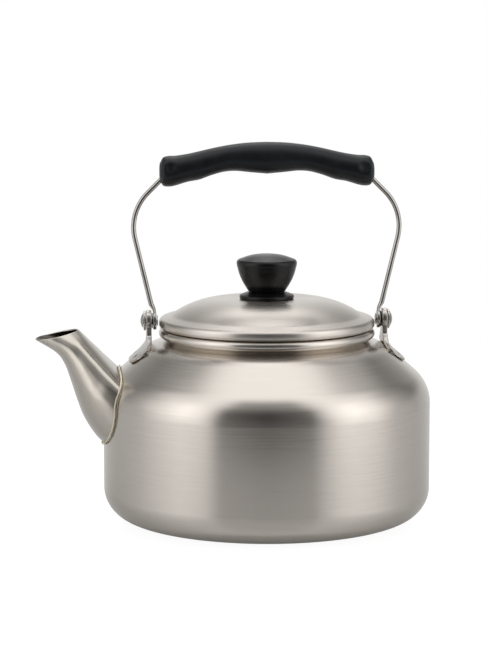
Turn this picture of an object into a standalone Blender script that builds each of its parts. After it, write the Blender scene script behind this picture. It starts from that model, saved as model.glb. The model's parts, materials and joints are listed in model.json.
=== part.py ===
"""Stainless tea kettle with a drawn spout, a lift-off lid and a swinging bail handle.

Frame: metres, +Z up, origin at the middle of the flat base. The spout points along -X, and the bail
turns about the X direction in two ears, one above the spout and one opposite it.
"""
from math import acos, asin, atan2, cos, hypot, pi, radians, sin, tan

import bmesh
import bpy
import numpy as np
from mathutils import Matrix, Vector

mm = 0.001

# Clearances
SEAT_GAP = 0.3 * mm             # between pieces that touch or are cut to each other
PIN_CLEARANCE = 0.3 * mm        # round a pin, screw or wire in its hole
CUTTER_MARGIN = 5.0 * mm        # how far a drill starts and ends from the sheet that it pierces

# Kettle body, drawn from one sheet; radii and heights are of its outside
BODY_SHEET = 0.8 * mm
BODY_RADIUS = 85.0 * mm
BASE_CORNER_RADIUS = 15.9 * mm
WALL_TOP = 69.9 * mm            # where the wall's line meets the shoulder's line
SHOULDER_RADIUS = 20.6 * mm
SHOULDER_SLOPE = radians(41)
SHOULDER_WIDTH = 23.0 * mm      # from the wall in to the brow, where the shoulder turns flatter
BROW_SLOPE = radians(18)
BROW_ROUNDING = 20.0 * mm
BROW_WIDTH = 9.9 * mm           # from there in to the neck
NECK_ROUNDING = 3.0 * mm
NECK_HEIGHT = 3.4 * mm          # from the foot of the neck to the middle of the rolled mouth
MOUTH_ROLL_RADIUS = 2.4 * mm
MOUTH_ROLL_TURN = radians(290)

# Strainer, punched through the wall behind the spout
STRAINER_HOLE_RADIUS = 2.25 * mm
STRAINER_PITCH = 7.6 * mm
STRAINER_ROWS = (3, 4, 5, 4)    # holes in each row, from the lowest up
STRAINER_FOOT = 20.4 * mm       # from the lowest row up to WALL_TOP

# Spout: stations from the mouth to the root, each with the lower and the upper point of its section
# as (distance out from the wall, height above WALL_TOP), its half width, and how square it is
SPOUT_SHEET = 0.8 * mm
SPOUT_STATIONS = (
    ((35.0 * mm, 23.9 * mm), (12.8 * mm, 28.9 * mm), 9.2 * mm, 2.0),
    ((24.6 * mm, 17.4 * mm), (10.1 * mm, 26.2 * mm), 9.1 * mm, 2.0),
    ((20.1 * mm, 11.4 * mm), (6.9 * mm, 22.8 * mm), 9.3 * mm, 2.0),
    ((17.0 * mm, 3.0 * mm), (2.5 * mm, 18.3 * mm), 11.6 * mm, 2.1),
    ((13.6 * mm, -7.6 * mm), (-2.5 * mm, 13.0 * mm), 16.4 * mm, 2.3),
    ((9.6 * mm, -17.6 * mm), (-7.2 * mm, 8.2 * mm), 24.0 * mm, 2.5),
    ((2.2 * mm, -28.2 * mm), (-12.0 * mm, 3.2 * mm), 30.5 * mm, 2.7),
    ((-9.0 * mm, -36.0 * mm), (-19.0 * mm, -4.0 * mm), 33.0 * mm, 2.8),
)
SPOUT_RINGS = 17
SPOUT_SIDES = 22
BRAZE_RADIUS = 0.65 * mm
BRAZE_POINTS = 36

# Lid, spun from one sheet, with a ring under it that drops into the mouth
LID_SHEET = 0.7 * mm
LID_OVERHANG = 3.9 * mm         # from the neck out to the lid's rim
LID_RIM_HEIGHT = 4.6 * mm       # from the foot of the rim to where the rim's and the brim's lines meet
LID_RIM_ROUNDING = 2.4 * mm
LID_RIM_RETURN = 3.0 * mm       # how far the rim's edge is turned in underneath
LID_BRIM_SLOPE = radians(16)
LID_BRIM_WIDTH = 6.6 * mm       # from the rim in to the step, where the brim meets the dome
LID_STEP_ROUNDING = 2.5 * mm
LID_DOME_SLOPE = radians(33)
LID_DOME_WIDTH = 12.9 * mm      # from the step in to where the dome's line meets the flat crown's line
LID_CROWN_ROUNDING = 45.5 * mm
LID_RING_SHEET = 0.6 * mm
LID_RING_CLEARANCE = 0.8 * mm   # all round, so that the lid drops in by its own weight
LID_RING_DEPTH = 11.0 * mm      # below the top of the rolled mouth
LID_RING_FLANGE = 4.5 * mm
LID_RING_ROUNDING = 1.5 * mm
STEAM_HOLE_RADIUS = 1.6 * mm
STEAM_HOLE_INSET = 8.4 * mm     # from the step in to the hole, on the side away from the viewer

# Knob and its fixings
KNOB_SEAT_RADIUS = 14.2 * mm
KNOB_SEAT_EDGE = 1.2 * mm
KNOB_SEAT_HEIGHT = 3.3 * mm
KNOB_WAIST_RADIUS = 9.5 * mm
KNOB_RADIUS = 15.6 * mm
KNOB_CONE_HEIGHT = 14.2 * mm
KNOB_TOP_RADIUS = 13.4 * mm
KNOB_TOP_RISE = 2.0 * mm
KNOB_CROWN_RISE = 1.9 * mm
INSERT_RADIUS = 4.0 * mm
INSERT_LENGTH = 10.0 * mm
SCREW_RADIUS = 2.0 * mm
SCREW_HEAD_RADIUS = 3.9 * mm
SCREW_HEAD_HEIGHT = 2.3 * mm
SCREW_GRIP_LENGTH = 8.5 * mm    # thread in the insert
SCREW_WASHER_RADIUS = 6.0 * mm
SCREW_WASHER_THICKNESS = 1.0 * mm

# Bail pivots; distances along X are measured from the kettle's axis
PIVOT_RISE = 4.1 * mm           # above the top of the rolled mouth
EYE_STAND_OFF = 2.2 * mm        # from the lid's rim out to the middle of the wire's eye
EYE_THICKNESS = 1.6 * mm
EYE_RADIUS = 4.7 * mm
RIVET_RADIUS = 1.9 * mm
RIVET_HEAD_RADIUS = 4.0 * mm
RIVET_HEAD_HEIGHT = 1.9 * mm
RIVET_TAIL_RADIUS = 3.0 * mm
RIVET_TAIL_HEIGHT = 0.5 * mm
FRICTION_WASHER_RADIUS = 4.0 * mm
FRICTION_WASHER_THICKNESS = 0.4 * mm
CUP_WASHER_RADIUS = 5.1 * mm
CUP_WASHER_THICKNESS = 1.0 * mm

# Ears: a pressed plate with a round head, folded out over the shoulder into a wide foot
EAR_THICKNESS = 2.6 * mm
EAR_HEAD_RADIUS = 5.6 * mm
EAR_NECK_HALF_WIDTH = 5.0 * mm
EAR_NECK_END = 5.0 * mm         # above the fold, where the plate starts to widen
EAR_FOOT_HALF_WIDTH = 15.0 * mm
EAR_FOOT_START = 2.5 * mm       # past the fold, where the foot is at full width
EAR_FOOT_INSET = 13.2 * mm      # from the wall in to the foot's edge, which leaves room for the spout
EAR_FOOT_CORNER = 5.0 * mm
EAR_FOLD_RADIUS = 4.2 * mm
EAR_EDGE_ROUNDING = 0.6 * mm
EAR_GRID = 3.0 * mm             # between the lines on which the folded sheet bends
EAR_LEAST_EDGE = 0.15 * mm

# Bail wire, one length from eye to eye through the grip; the first two places are out from the eye's
# middle and up from the pivot, the corner's is down from the grip, the entry's in from the grip's end
WIRE_RADIUS = 1.3 * mm
WIRE_KNEE = (0.1 * mm, 4.9 * mm)
WIRE_LEG_FOOT = (1.8 * mm, 8.4 * mm)
WIRE_CORNER = (13.2 * mm, 27.8 * mm)
WIRE_GRIP_ENTRY = (7.6 * mm, 4.8 * mm)
WIRE_KNEE_ROUNDING = 4.0 * mm
WIRE_CORNER_ROUNDING = 25.0 * mm
WIRE_ENTRY_ROUNDING = 8.0 * mm
WIRE_FORGED_END = 8.0 * mm      # rise at which the flattened end is round again
WIRE_FORGED_WIDTH = 1.7         # how much wider the wire is where it is flattened
WIRE_FORGED_THINNING = 0.9      # thickness of the flattened wire, as a share of the eye's

# Grip: stations along its half, as (distance from the middle, top, underside, half depth), with the
# heights measured from the wire's middle
GRIP_STATIONS = (
    (0.0 * mm, 8.2 * mm, -8.2 * mm, 8.8 * mm),
    (9.0 * mm, 7.9 * mm, -7.4 * mm, 8.5 * mm),
    (16.0 * mm, 7.2 * mm, -6.7 * mm, 8.1 * mm),
    (22.0 * mm, 6.3 * mm, -7.1 * mm, 7.9 * mm),
    (28.5 * mm, 5.0 * mm, -8.8 * mm, 8.0 * mm),
    (35.0 * mm, 3.5 * mm, -11.1 * mm, 8.2 * mm),
    (41.0 * mm, 2.2 * mm, -12.2 * mm, 8.2 * mm),
    (47.0 * mm, 1.3 * mm, -14.0 * mm, 8.5 * mm),
    (51.0 * mm, 1.0 * mm, -14.8 * mm, 8.6 * mm),
    (54.2 * mm, 0.2 * mm, -14.2 * mm, 8.0 * mm),
    (56.0 * mm, -2.2 * mm, -12.0 * mm, 5.6 * mm),
)
GRIP_RISE = 84.1 * mm           # the wire's middle inside the grip, above the pivot
GRIP_RINGS = 15
GRIP_SIDES = 14

# Fineness of the facets
BODY_STEPS = 40
LID_STEPS = 34
KNOB_STEPS = 24
SMALL_STEPS = 16
ARC_SAG = 0.2 * mm              # how far a chord may lie inside the arc that it stands for


def start_empty():
    for old in list(bpy.data.objects):
        bpy.data.objects.remove(old, do_unlink=True)
    parts = bpy.data.collections.new("tea_kettle")
    cutters = bpy.data.collections.new("tea_kettle_cutters")
    for collection in (parts, cutters):
        bpy.context.scene.collection.children.link(collection)
    return parts, cutters


PARTS, CUTTERS = start_empty()


def finish(name, colour, roughness, metallic):
    material = bpy.data.materials.new(name)
    material.use_nodes = True
    shader = material.node_tree.nodes["Principled BSDF"]
    shader.inputs["Base Color"].default_value = (*colour, 1.0)
    shader.inputs["Roughness"].default_value = roughness
    shader.inputs["Metallic"].default_value = metallic
    return material


BRUSHED_STEEL = finish("brushed_steel", (0.56, 0.54, 0.51), 0.32, 1.0)
POLISHED_STEEL = finish("polished_steel", (0.62, 0.61, 0.59), 0.18, 1.0)
BRAZE_METAL = finish("braze_metal", (0.72, 0.64, 0.46), 0.35, 1.0)
BLACK_RESIN = finish("black_resin", (0.018, 0.018, 0.020), 0.42, 0.0)
BRASS = finish("brass", (0.72, 0.53, 0.25), 0.35, 1.0)
BLACK_NYLON = finish("black_nylon", (0.03, 0.03, 0.03), 0.55, 0.0)


# Shapes used by several pieces

def arc(centre, radius, start, end):
    """Points on an arc from one angle to another, both ends included."""
    step = 2 * acos(1 - ARC_SAG / radius)
    count = int(np.ceil(abs(end - start) / step)) + 1
    return [(centre[0] + radius * cos(a), centre[1] + radius * sin(a)) for a in np.linspace(start, end, count)]


def rounded(corners):
    """A flat path through (x, z, rounding) corners, each one rounded by a tangent arc."""
    path = [corners[0][:2]]
    for before, corner, after in zip(corners, corners[1:], corners[2:]):
        point = Vector(corner[:2])
        back = (Vector(before[:2]) - point).normalized()
        ahead = (Vector(after[:2]) - point).normalized()
        half = back.angle(ahead) / 2
        reach = corner[2] / tan(half)
        centre = point + (back + ahead).normalized() * (corner[2] / sin(half))
        first = point + back * reach - centre
        last = point + ahead * reach - centre
        start = atan2(first.y, first.x)
        turn = (atan2(last.y, last.x) - start + pi) % (2 * pi) - pi
        path += arc(centre, corner[2], start, start + turn)
    return path + [corners[-1][:2]]


def offset(path, distance):
    """The same path moved to its left-hand side, seen with x to the right and z up."""
    points = np.array(path)
    steps = np.diff(points, axis=0)
    normals = np.column_stack([-steps[:, 1], steps[:, 0]]) / np.hypot(*steps.T)[:, None]
    before = np.vstack([normals[:1], normals])
    after = np.vstack([normals, normals[-1:]])
    middle = before + after
    middle /= (1 + (before * after).sum(axis=1))[:, None]
    return [tuple(p) for p in points + middle * distance]


def add_object(name, mesh, material, collection=None):
    thing = bpy.data.objects.new(name, mesh)
    (collection or PARTS).objects.link(thing)
    if material:
        mesh.materials.append(material)
    return thing


def smooth(thing, angle=radians(35)):
    thing.data.shade_smooth()
    thing.data.set_sharp_from_angle(angle=angle)


def turned(name, profile, steps, material, closed=False, collection=None):
    """A turned piece: a profile of (radius, height) points swept about Z by a Screw modifier."""
    mesh = bpy.data.meshes.new(name)
    count = len(profile)
    edges = [(i, i + 1) for i in range(count - 1)]
    if closed:
        edges.append((count - 1, 0))
    mesh.from_pydata([(r, 0.0, z) for r, z in profile], edges, [])
    thing = add_object(name, mesh, material, collection)
    screw = thing.modifiers.new("turn", "SCREW")
    screw.steps = screw.render_steps = steps
    screw.use_merge_vertices = True
    screw.merge_threshold = 0.01 * mm
    screw.use_smooth_shade = True
    return thing


def washer(name, inner, outer, thickness, steps, material, collection=None):
    """A flat ring that lies on Z from 0 to its thickness."""
    profile = [(inner, thickness), (outer, thickness), (outer, 0.0), (inner, 0.0)]
    return turned(name, profile, steps, material, closed=True, collection=collection)


def plain_mesh(thing):
    """The object with its modifiers applied, as a mesh object of the same name and place."""
    graph = bpy.context.evaluated_depsgraph_get()
    mesh = bpy.data.meshes.new_from_object(thing.evaluated_get(graph))
    name, matrix, collection = thing.name, thing.matrix_world.copy(), thing.users_collection[0]
    bpy.data.objects.remove(thing, do_unlink=True)
    shape = bmesh.new()
    shape.from_mesh(mesh)
    bmesh.ops.remove_doubles(shape, verts=shape.verts, dist=0.005 * mm)
    shape.to_mesh(mesh)
    shape.free()
    whole = bpy.data.objects.new(name, mesh)
    mesh.name = name
    collection.objects.link(whole)
    whole.matrix_world = matrix
    return whole


def tube(name, points, radius, resolution, material, cyclic=False, collection=None):
    """A round tube along points, made as a bevelled curve and turned into a mesh."""
    curve = bpy.data.curves.new(name, "CURVE")
    curve.dimensions = "3D"
    curve.bevel_depth = radius
    curve.bevel_resolution = resolution
    curve.use_fill_caps = not cyclic
    spline = curve.splines.new("POLY")
    spline.points.add(len(points) - 1)
    for target, point in zip(spline.points, points):
        target.co = (*point, 1.0)
    spline.use_cyclic_u = cyclic
    return plain_mesh(add_object(name, curve, material, collection))


def as_guide(thing):
    thing.hide_render = True
    thing.display_type = "WIRE"
    return thing


def cut(thing, cutter, operation="DIFFERENCE"):
    boolean = thing.modifiers.new(operation.lower(), "BOOLEAN")
    boolean.operation = operation
    boolean.solver = "EXACT"
    boolean.object = as_guide(cutter)


def drills(name, radius, lines, sides):
    """One cutter of cylinders, each along a (start, end) line."""
    shape = bmesh.new()
    for start, end in lines:
        axis = Vector(end) - Vector(start)
        place = Matrix.Translation((Vector(start) + Vector(end)) / 2) @ axis.to_track_quat("Z", "Y").to_matrix().to_4x4()
        bmesh.ops.create_cone(shape, cap_ends=True, segments=sides, radius1=radius, radius2=radius,
                              depth=axis.length, matrix=place)
    mesh = bpy.data.meshes.new(name)
    shape.to_mesh(mesh)
    shape.free()
    return add_object(name, mesh, None, CUTTERS)


def through(stations, count):
    """Smooth rows of numbers through the given ones, by a cubic that passes each of them."""
    rows = np.array(stations, dtype=float)
    padded = np.vstack([2 * rows[0] - rows[1], rows, 2 * rows[-1] - rows[-2]])
    places = np.linspace(0, len(rows) - 1, count)
    result = []
    for place in places:
        i = min(int(place), len(rows) - 2)
        t = place - i
        a, b, c, d = padded[i:i + 4]
        result.append(0.5 * (2 * b + (c - a) * t + (2 * a - 5 * b + 4 * c - d) * t ** 2
                             + (3 * b - a - 3 * c + d) * t ** 3))
    return np.array(result)


def loft(name, rings, material, capped):
    """A skin over rings of as many points each, which run clockwise seen from the first ring."""
    shape = bmesh.new()
    loops = [[shape.verts.new(p) for p in ring] for ring in rings]
    sides = len(rings[0])
    for lower, upper in zip(loops, loops[1:]):
        for i in range(sides):
            j = (i + 1) % sides
            shape.faces.new((lower[i], lower[j], upper[j], upper[i]))
    if capped:
        shape.faces.new(loops[0][::-1])
        shape.faces.new(loops[-1])
    mesh = bpy.data.meshes.new(name)
    shape.to_mesh(mesh)
    shape.free()
    return add_object(name, mesh, material)


# Kettle body

BROW_RADIUS = BODY_RADIUS - SHOULDER_WIDTH
BROW_HEIGHT = WALL_TOP + SHOULDER_WIDTH * tan(SHOULDER_SLOPE)
NECK_RADIUS = BROW_RADIUS - BROW_WIDTH
NECK_FOOT = BROW_HEIGHT + BROW_WIDTH * tan(BROW_SLOPE)
MOUTH_ROLL_HEIGHT = NECK_FOOT + NECK_HEIGHT
MOUTH_TOP = MOUTH_ROLL_HEIGHT + MOUTH_ROLL_RADIUS
MOUTH_RADIUS = NECK_RADIUS - BODY_SHEET


def body_outside():
    """The outside of the sheet, from the middle of the base up to the foot of the rolled mouth."""
    return rounded([
        (0.0, 0.0),
        (BODY_RADIUS, 0.0, BASE_CORNER_RADIUS),
        (BODY_RADIUS, WALL_TOP, SHOULDER_RADIUS),
        (BROW_RADIUS, BROW_HEIGHT, BROW_ROUNDING),
        (NECK_RADIUS, NECK_FOOT, NECK_ROUNDING),
        (NECK_RADIUS, MOUTH_ROLL_HEIGHT)])


def shoulder_height(radius):
    """Height of the body's outside at a distance from the axis, on the shoulder."""
    shoulder = [p for p in body_outside() if p[1] > WALL_TOP / 2]
    radii = [r for r, z in shoulder][::-1]
    heights = [z for r, z in shoulder][::-1]
    return np.interp(radius, radii, heights)


def body_radius(height):
    """Distance of the body's outside from the axis at a height above the base's corner."""
    wall = [p for p in body_outside() if p[1] > BASE_CORNER_RADIUS / 2]
    return np.interp(height, [z for r, z in wall], [r for r, z in wall])


def make_body():
    inner_roll = MOUTH_ROLL_RADIUS - BODY_SHEET
    roll = arc((NECK_RADIUS + inner_roll, MOUTH_ROLL_HEIGHT), inner_roll, pi, pi - MOUTH_ROLL_TURN)
    outside = body_outside()[:-1] + roll
    inside = offset(outside, BODY_SHEET)
    body = turned("kettle_body", inside + outside[::-1], BODY_STEPS, BRUSHED_STEEL)
    holes = []
    for row, count in enumerate(STRAINER_ROWS):
        height = WALL_TOP - STRAINER_FOOT + row * STRAINER_PITCH * sin(radians(60))
        for i in range(count):
            side = (i - (count - 1) / 2) * STRAINER_PITCH
            holes.append(((-BROW_RADIUS, side, height), (-BODY_RADIUS - CUTTER_MARGIN, side, height)))
    cut(body, drills("strainer_holes", STRAINER_HOLE_RADIUS, holes, 8))
    return body


# Spout and its braze

def spout_section(station):
    """Middle, half height vector, half width and squareness of one section of the spout."""
    low_out, low_up, high_out, high_up, half_width, square = station
    low = Vector((-(BODY_RADIUS + low_out), 0.0, WALL_TOP + low_up))
    high = Vector((-(BODY_RADIUS + high_out), 0.0, WALL_TOP + high_up))
    return (low + high) / 2, (high - low) / 2, half_width, square


def spout_ring(station, sides=SPOUT_SIDES):
    middle, half_height, half_width, square = spout_section(station)
    ring = []
    for i in range(sides):
        a = 2 * pi * i / sides
        up = abs(cos(a)) ** (2 / square) * (1 if cos(a) >= 0 else -1)
        across = abs(sin(a)) ** (2 / square) * (1 if sin(a) >= 0 else -1)
        ring.append(middle + half_height * up + Vector((0, half_width * across, 0)))
    return ring


def spout_rows(count):
    return through([(*low, *high, width, square) for low, high, width, square in SPOUT_STATIONS], count)


def make_spout():
    rings = [spout_ring(row) for row in spout_rows(SPOUT_RINGS)[::-1]]
    spout = loft("spout", rings, BRUSHED_STEEL, capped=False)
    sheet = spout.modifiers.new("sheet", "SOLIDIFY")
    sheet.thickness = SPOUT_SHEET
    sheet.offset = -1
    room = offset(body_outside(), -SEAT_GAP)
    room = [(0.0, room[0][1])] + room[1:] + [(0.0, room[-1][1])]
    cut(spout, turned("spout_trim", room[::-1], BODY_STEPS, None, collection=CUTTERS))
    return spout


def make_braze():
    """A bead of filler in the corner between spout and body, all the way round."""
    fine = 400
    rings = np.array([[tuple(p) for p in spout_ring(row, BRAZE_POINTS)] for row in spout_rows(fine)])
    bead = []
    stand_off = SEAT_GAP + BRAZE_RADIUS
    for i in range(BRAZE_POINTS):
        line = rings[:, i]
        outside = np.hypot(line[:, 0], line[:, 1]) - body_radius(line[:, 2])
        last = np.flatnonzero(outside > 0)[-1]
        point = Vector(line[last])
        along = Vector(line[last] - line[last - 1]).normalized()
        round_it = Vector(rings[last, (i + 1) % BRAZE_POINTS] - rings[last, i - 1]).normalized()
        spout_normal = along.cross(round_it).normalized()
        if spout_normal.dot(point - Vector(rings[last].mean(axis=0))) < 0:
            spout_normal.negate()
        rise = 0.5 * mm
        steep = (body_radius(point.z + rise) - body_radius(point.z - rise)) / (2 * rise)
        out = Vector((point.x, point.y, 0)).normalized()
        body_normal = (out - Vector((0, 0, steep))).normalized()
        bead.append(point + (spout_normal + body_normal) * stand_off / (1 + spout_normal.dot(body_normal)))
    return tube("spout_braze", bead, BRAZE_RADIUS, 1, BRAZE_METAL, cyclic=True)


# Lid and knob

LID_RADIUS = NECK_RADIUS + LID_OVERHANG
LID_STEP_RADIUS = LID_RADIUS - LID_BRIM_WIDTH
LID_CROWN_RADIUS = LID_STEP_RADIUS - LID_DOME_WIDTH
LID_FOOT = MOUTH_TOP + SEAT_GAP
LID_BRIM_HEIGHT = LID_FOOT + LID_RIM_HEIGHT + LID_BRIM_WIDTH * tan(LID_BRIM_SLOPE)
LID_TOP = LID_BRIM_HEIGHT + LID_DOME_WIDTH * tan(LID_DOME_SLOPE)
SCREW_HOLE_RADIUS = SCREW_RADIUS + PIN_CLEARANCE


def lid_outside():
    """The lid's upper side, from the screw hole out to the turned-in edge of the rim."""
    return rounded([
        (SCREW_HOLE_RADIUS, LID_TOP),
        (LID_CROWN_RADIUS, LID_TOP, LID_CROWN_ROUNDING),
        (LID_STEP_RADIUS, LID_BRIM_HEIGHT, LID_STEP_ROUNDING),
        (LID_RADIUS, LID_FOOT + LID_RIM_HEIGHT, LID_RIM_ROUNDING),
        (LID_RADIUS, LID_FOOT, LID_RIM_ROUNDING * 0.75),
        (LID_RADIUS - LID_RIM_RETURN, LID_FOOT)])


def lid_underside():
    return offset(lid_outside(), -LID_SHEET)


def make_lid():
    lid = turned("lid_dome", lid_outside() + lid_underside()[::-1], LID_STEPS, BRUSHED_STEEL, closed=True)
    place = LID_STEP_RADIUS - STEAM_HOLE_INSET
    hole = ((0, place, MOUTH_TOP), (0, place, LID_TOP + CUTTER_MARGIN))
    cut(lid, drills("steam_hole", STEAM_HOLE_RADIUS, [hole], 10))
    return lid


def make_lid_ring():
    """The ring that drops into the mouth, with a flange that follows the underside of the dome."""
    radius = MOUTH_RADIUS - LID_RING_CLEARANCE
    under = [p for p in lid_underside() if p[0] < LID_STEP_RADIUS]
    radii = [r for r, z in under]
    heights = [z for r, z in under]
    inner = LID_STEP_RADIUS - LID_RING_FLANGE
    corner = radius - LID_RING_ROUNDING
    drop = SEAT_GAP / cos(LID_DOME_SLOPE)
    outside = rounded([
        (inner, np.interp(inner, radii, heights) - drop),
        (corner, np.interp(corner, radii, heights) - drop * 1.5, LID_RING_ROUNDING),
        (radius, np.interp(radius, radii, heights) - LID_SHEET - LID_RING_ROUNDING, LID_RING_ROUNDING),
        (radius, MOUTH_TOP - LID_RING_DEPTH)])
    inside = offset(outside, -LID_RING_SHEET)
    return turned("lid_ring", outside + inside[::-1], LID_STEPS, BRUSHED_STEEL, closed=True)


KNOB_SEAT_FOOT = LID_TOP + SEAT_GAP
KNOB_FOOT = KNOB_SEAT_FOOT + KNOB_SEAT_HEIGHT + SEAT_GAP
INSERT_HOLE_RADIUS = INSERT_RADIUS + PIN_CLEARANCE


def make_knob_seat():
    waist = KNOB_WAIST_RADIUS
    profile = [
        (SCREW_HOLE_RADIUS, KNOB_SEAT_FOOT + KNOB_SEAT_HEIGHT),
        (waist, KNOB_SEAT_FOOT + KNOB_SEAT_HEIGHT),
        (waist + 1.0 * mm, KNOB_SEAT_FOOT + KNOB_SEAT_HEIGHT - 0.6 * mm),
        (KNOB_SEAT_RADIUS - 0.7 * mm, KNOB_SEAT_FOOT + KNOB_SEAT_EDGE + 0.5 * mm),
        (KNOB_SEAT_RADIUS, KNOB_SEAT_FOOT + KNOB_SEAT_EDGE),
        (KNOB_SEAT_RADIUS - 0.2 * mm, KNOB_SEAT_FOOT),
        (SCREW_HOLE_RADIUS, KNOB_SEAT_FOOT)]
    return turned("knob_seat", profile, KNOB_STEPS, BLACK_RESIN, closed=True)


def make_knob():
    """A cup-shaped knob: a cone that swells a little, a rounded edge and a low crown."""
    cone_top = KNOB_FOOT + KNOB_CONE_HEIGHT
    edge_top = cone_top + KNOB_TOP_RISE
    swell = 0.35 * mm
    cone = []
    for t in np.linspace(1, 0, 6):
        cone.append((KNOB_WAIST_RADIUS + (KNOB_RADIUS - KNOB_WAIST_RADIUS) * t + swell * sin(pi * t),
                     KNOB_FOOT + KNOB_CONE_HEIGHT * t))
    crown = []
    for t in np.linspace(0, 1, 5):
        crown.append((KNOB_TOP_RADIUS * t, edge_top + KNOB_CROWN_RISE * cos(t * pi / 2)))
    edge = [(KNOB_RADIUS - 0.5 * mm, cone_top + KNOB_TOP_RISE * 0.6)]
    bore = [(INSERT_HOLE_RADIUS, KNOB_FOOT), (INSERT_HOLE_RADIUS, KNOB_FOOT + INSERT_LENGTH + 2 * SEAT_GAP),
            (0.0, KNOB_FOOT + INSERT_LENGTH + 2 * SEAT_GAP)]
    return turned("lid_knob", crown + edge + cone + bore, KNOB_STEPS, BLACK_RESIN)


def make_knob_fixings():
    insert_foot = KNOB_FOOT + SEAT_GAP
    insert = washer("knob_insert", SCREW_HOLE_RADIUS, INSERT_RADIUS, INSERT_LENGTH, SMALL_STEPS, BRASS)
    insert.location.z = insert_foot
    washer_top = LID_TOP - LID_SHEET - SEAT_GAP
    ring = washer("screw_washer", SCREW_HOLE_RADIUS, SCREW_WASHER_RADIUS, SCREW_WASHER_THICKNESS,
                  SMALL_STEPS, POLISHED_STEEL)
    ring.location.z = washer_top - SCREW_WASHER_THICKNESS
    head_top = washer_top - SCREW_WASHER_THICKNESS - SEAT_GAP
    profile = [
        (0.0, insert_foot + SCREW_GRIP_LENGTH),
        (SCREW_RADIUS * 0.8, insert_foot + SCREW_GRIP_LENGTH),
        (SCREW_RADIUS, insert_foot + SCREW_GRIP_LENGTH - 0.5 * mm),
        (SCREW_RADIUS, head_top),
        (SCREW_HEAD_RADIUS, head_top),
        (SCREW_HEAD_RADIUS, head_top - SCREW_HEAD_HEIGHT * 0.45),
        (SCREW_HEAD_RADIUS * 0.75, head_top - SCREW_HEAD_HEIGHT * 0.9),
        (0.0, head_top - SCREW_HEAD_HEIGHT)]
    turned("knob_screw", profile, SMALL_STEPS, POLISHED_STEEL)


# Ears, rivets and washers of the bail

PIVOT_HEIGHT = MOUTH_TOP + PIVOT_RISE
EYE_MIDDLE = LID_RADIUS + EYE_STAND_OFF
EYE_OUTSIDE = EYE_MIDDLE + EYE_THICKNESS / 2
EYE_INSIDE = EYE_MIDDLE - EYE_THICKNESS / 2
EAR_INSIDE = EYE_OUTSIDE + FRICTION_WASHER_THICKNESS + 2 * SEAT_GAP
EAR_OUTSIDE = EAR_INSIDE + EAR_THICKNESS
EAR_MIDDLE = (EAR_INSIDE + EAR_OUTSIDE) / 2
EAR_LIFT = (SEAT_GAP + EAR_THICKNESS / 2) / cos(SHOULDER_SLOPE)
PIVOT_HOLE_RADIUS = RIVET_RADIUS + PIN_CLEARANCE


def ear_fold(across):
    """The middle of the ear's sheet at a distance across it, from the pivot down, as (x, z) points."""

    def foot_height(x):
        return shoulder_height(hypot(x, across)) + EAR_LIFT

    reach = EAR_FOLD_RADIUS * tan((pi / 2 - SHOULDER_SLOPE) / 2) * cos(SHOULDER_SLOPE)
    ends = np.linspace(EAR_MIDDLE + 2 * reach, BODY_RADIUS - EAR_FOOT_INSET + 2 * reach, 12)
    first = (ends[0], foot_height(ends[0]))
    slope = (first[1] - foot_height(ends[1])) / (ends[1] - ends[0])
    corner = (EAR_MIDDLE, first[1] + slope * (first[0] - EAR_MIDDLE), EAR_FOLD_RADIUS)
    path = rounded([(EAR_MIDDLE, PIVOT_HEIGHT), corner, first])
    return path + [(x, foot_height(x)) for x in ends[1:]]


def ear_pattern():
    """Half of the flat ear's outline, as (across, down) points from the head round to the foot."""
    start = asin(EAR_NECK_HALF_WIDTH / EAR_HEAD_RADIUS)
    head = [(EAR_HEAD_RADIUS * sin(a), -EAR_HEAD_RADIUS * cos(a)) for a in np.linspace(0, pi - start, 10)]
    fold = PIVOT_HEIGHT - EAR_LIFT - shoulder_height(EAR_MIDDLE)
    end = fold + (BODY_RADIUS - EAR_FOOT_INSET - EAR_MIDDLE) / cos(SHOULDER_SLOPE)
    side = rounded([
        (EAR_NECK_HALF_WIDTH, fold / 2),
        (EAR_NECK_HALF_WIDTH, fold - EAR_NECK_END, 2.0 * mm),
        (EAR_FOOT_HALF_WIDTH, fold + EAR_FOOT_START, 3.0 * mm),
        (EAR_FOOT_HALF_WIDTH, end, EAR_FOOT_CORNER),
        (0.0, end)])
    return head + side


def closed_outlines(name, outlines, material):
    """A flat mesh inside closed outlines, where one that lies in another is a hole."""
    curve = bpy.data.curves.new(name, "CURVE")
    curve.dimensions = "2D"
    curve.fill_mode = "BOTH"
    for outline in outlines:
        spline = curve.splines.new("POLY")
        spline.points.add(len(outline) - 1)
        for target, (u, v) in zip(spline.points, outline):
            target.co = (u, v, 0, 1)
        spline.use_cyclic_u = True
    return plain_mesh(add_object(name, curve, material))


def fold_ear(across, down):
    """Where a point of the flat ear lies once its foot is folded over the shoulder."""
    if down <= 0:
        return EAR_MIDDLE, PIVOT_HEIGHT - down
    path = np.array(ear_fold(across))
    run = np.append(0, np.cumsum(np.hypot(*np.diff(path, axis=0).T)))
    return np.interp(down, run, path[:, 0]), np.interp(down, run, path[:, 1])


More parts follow.
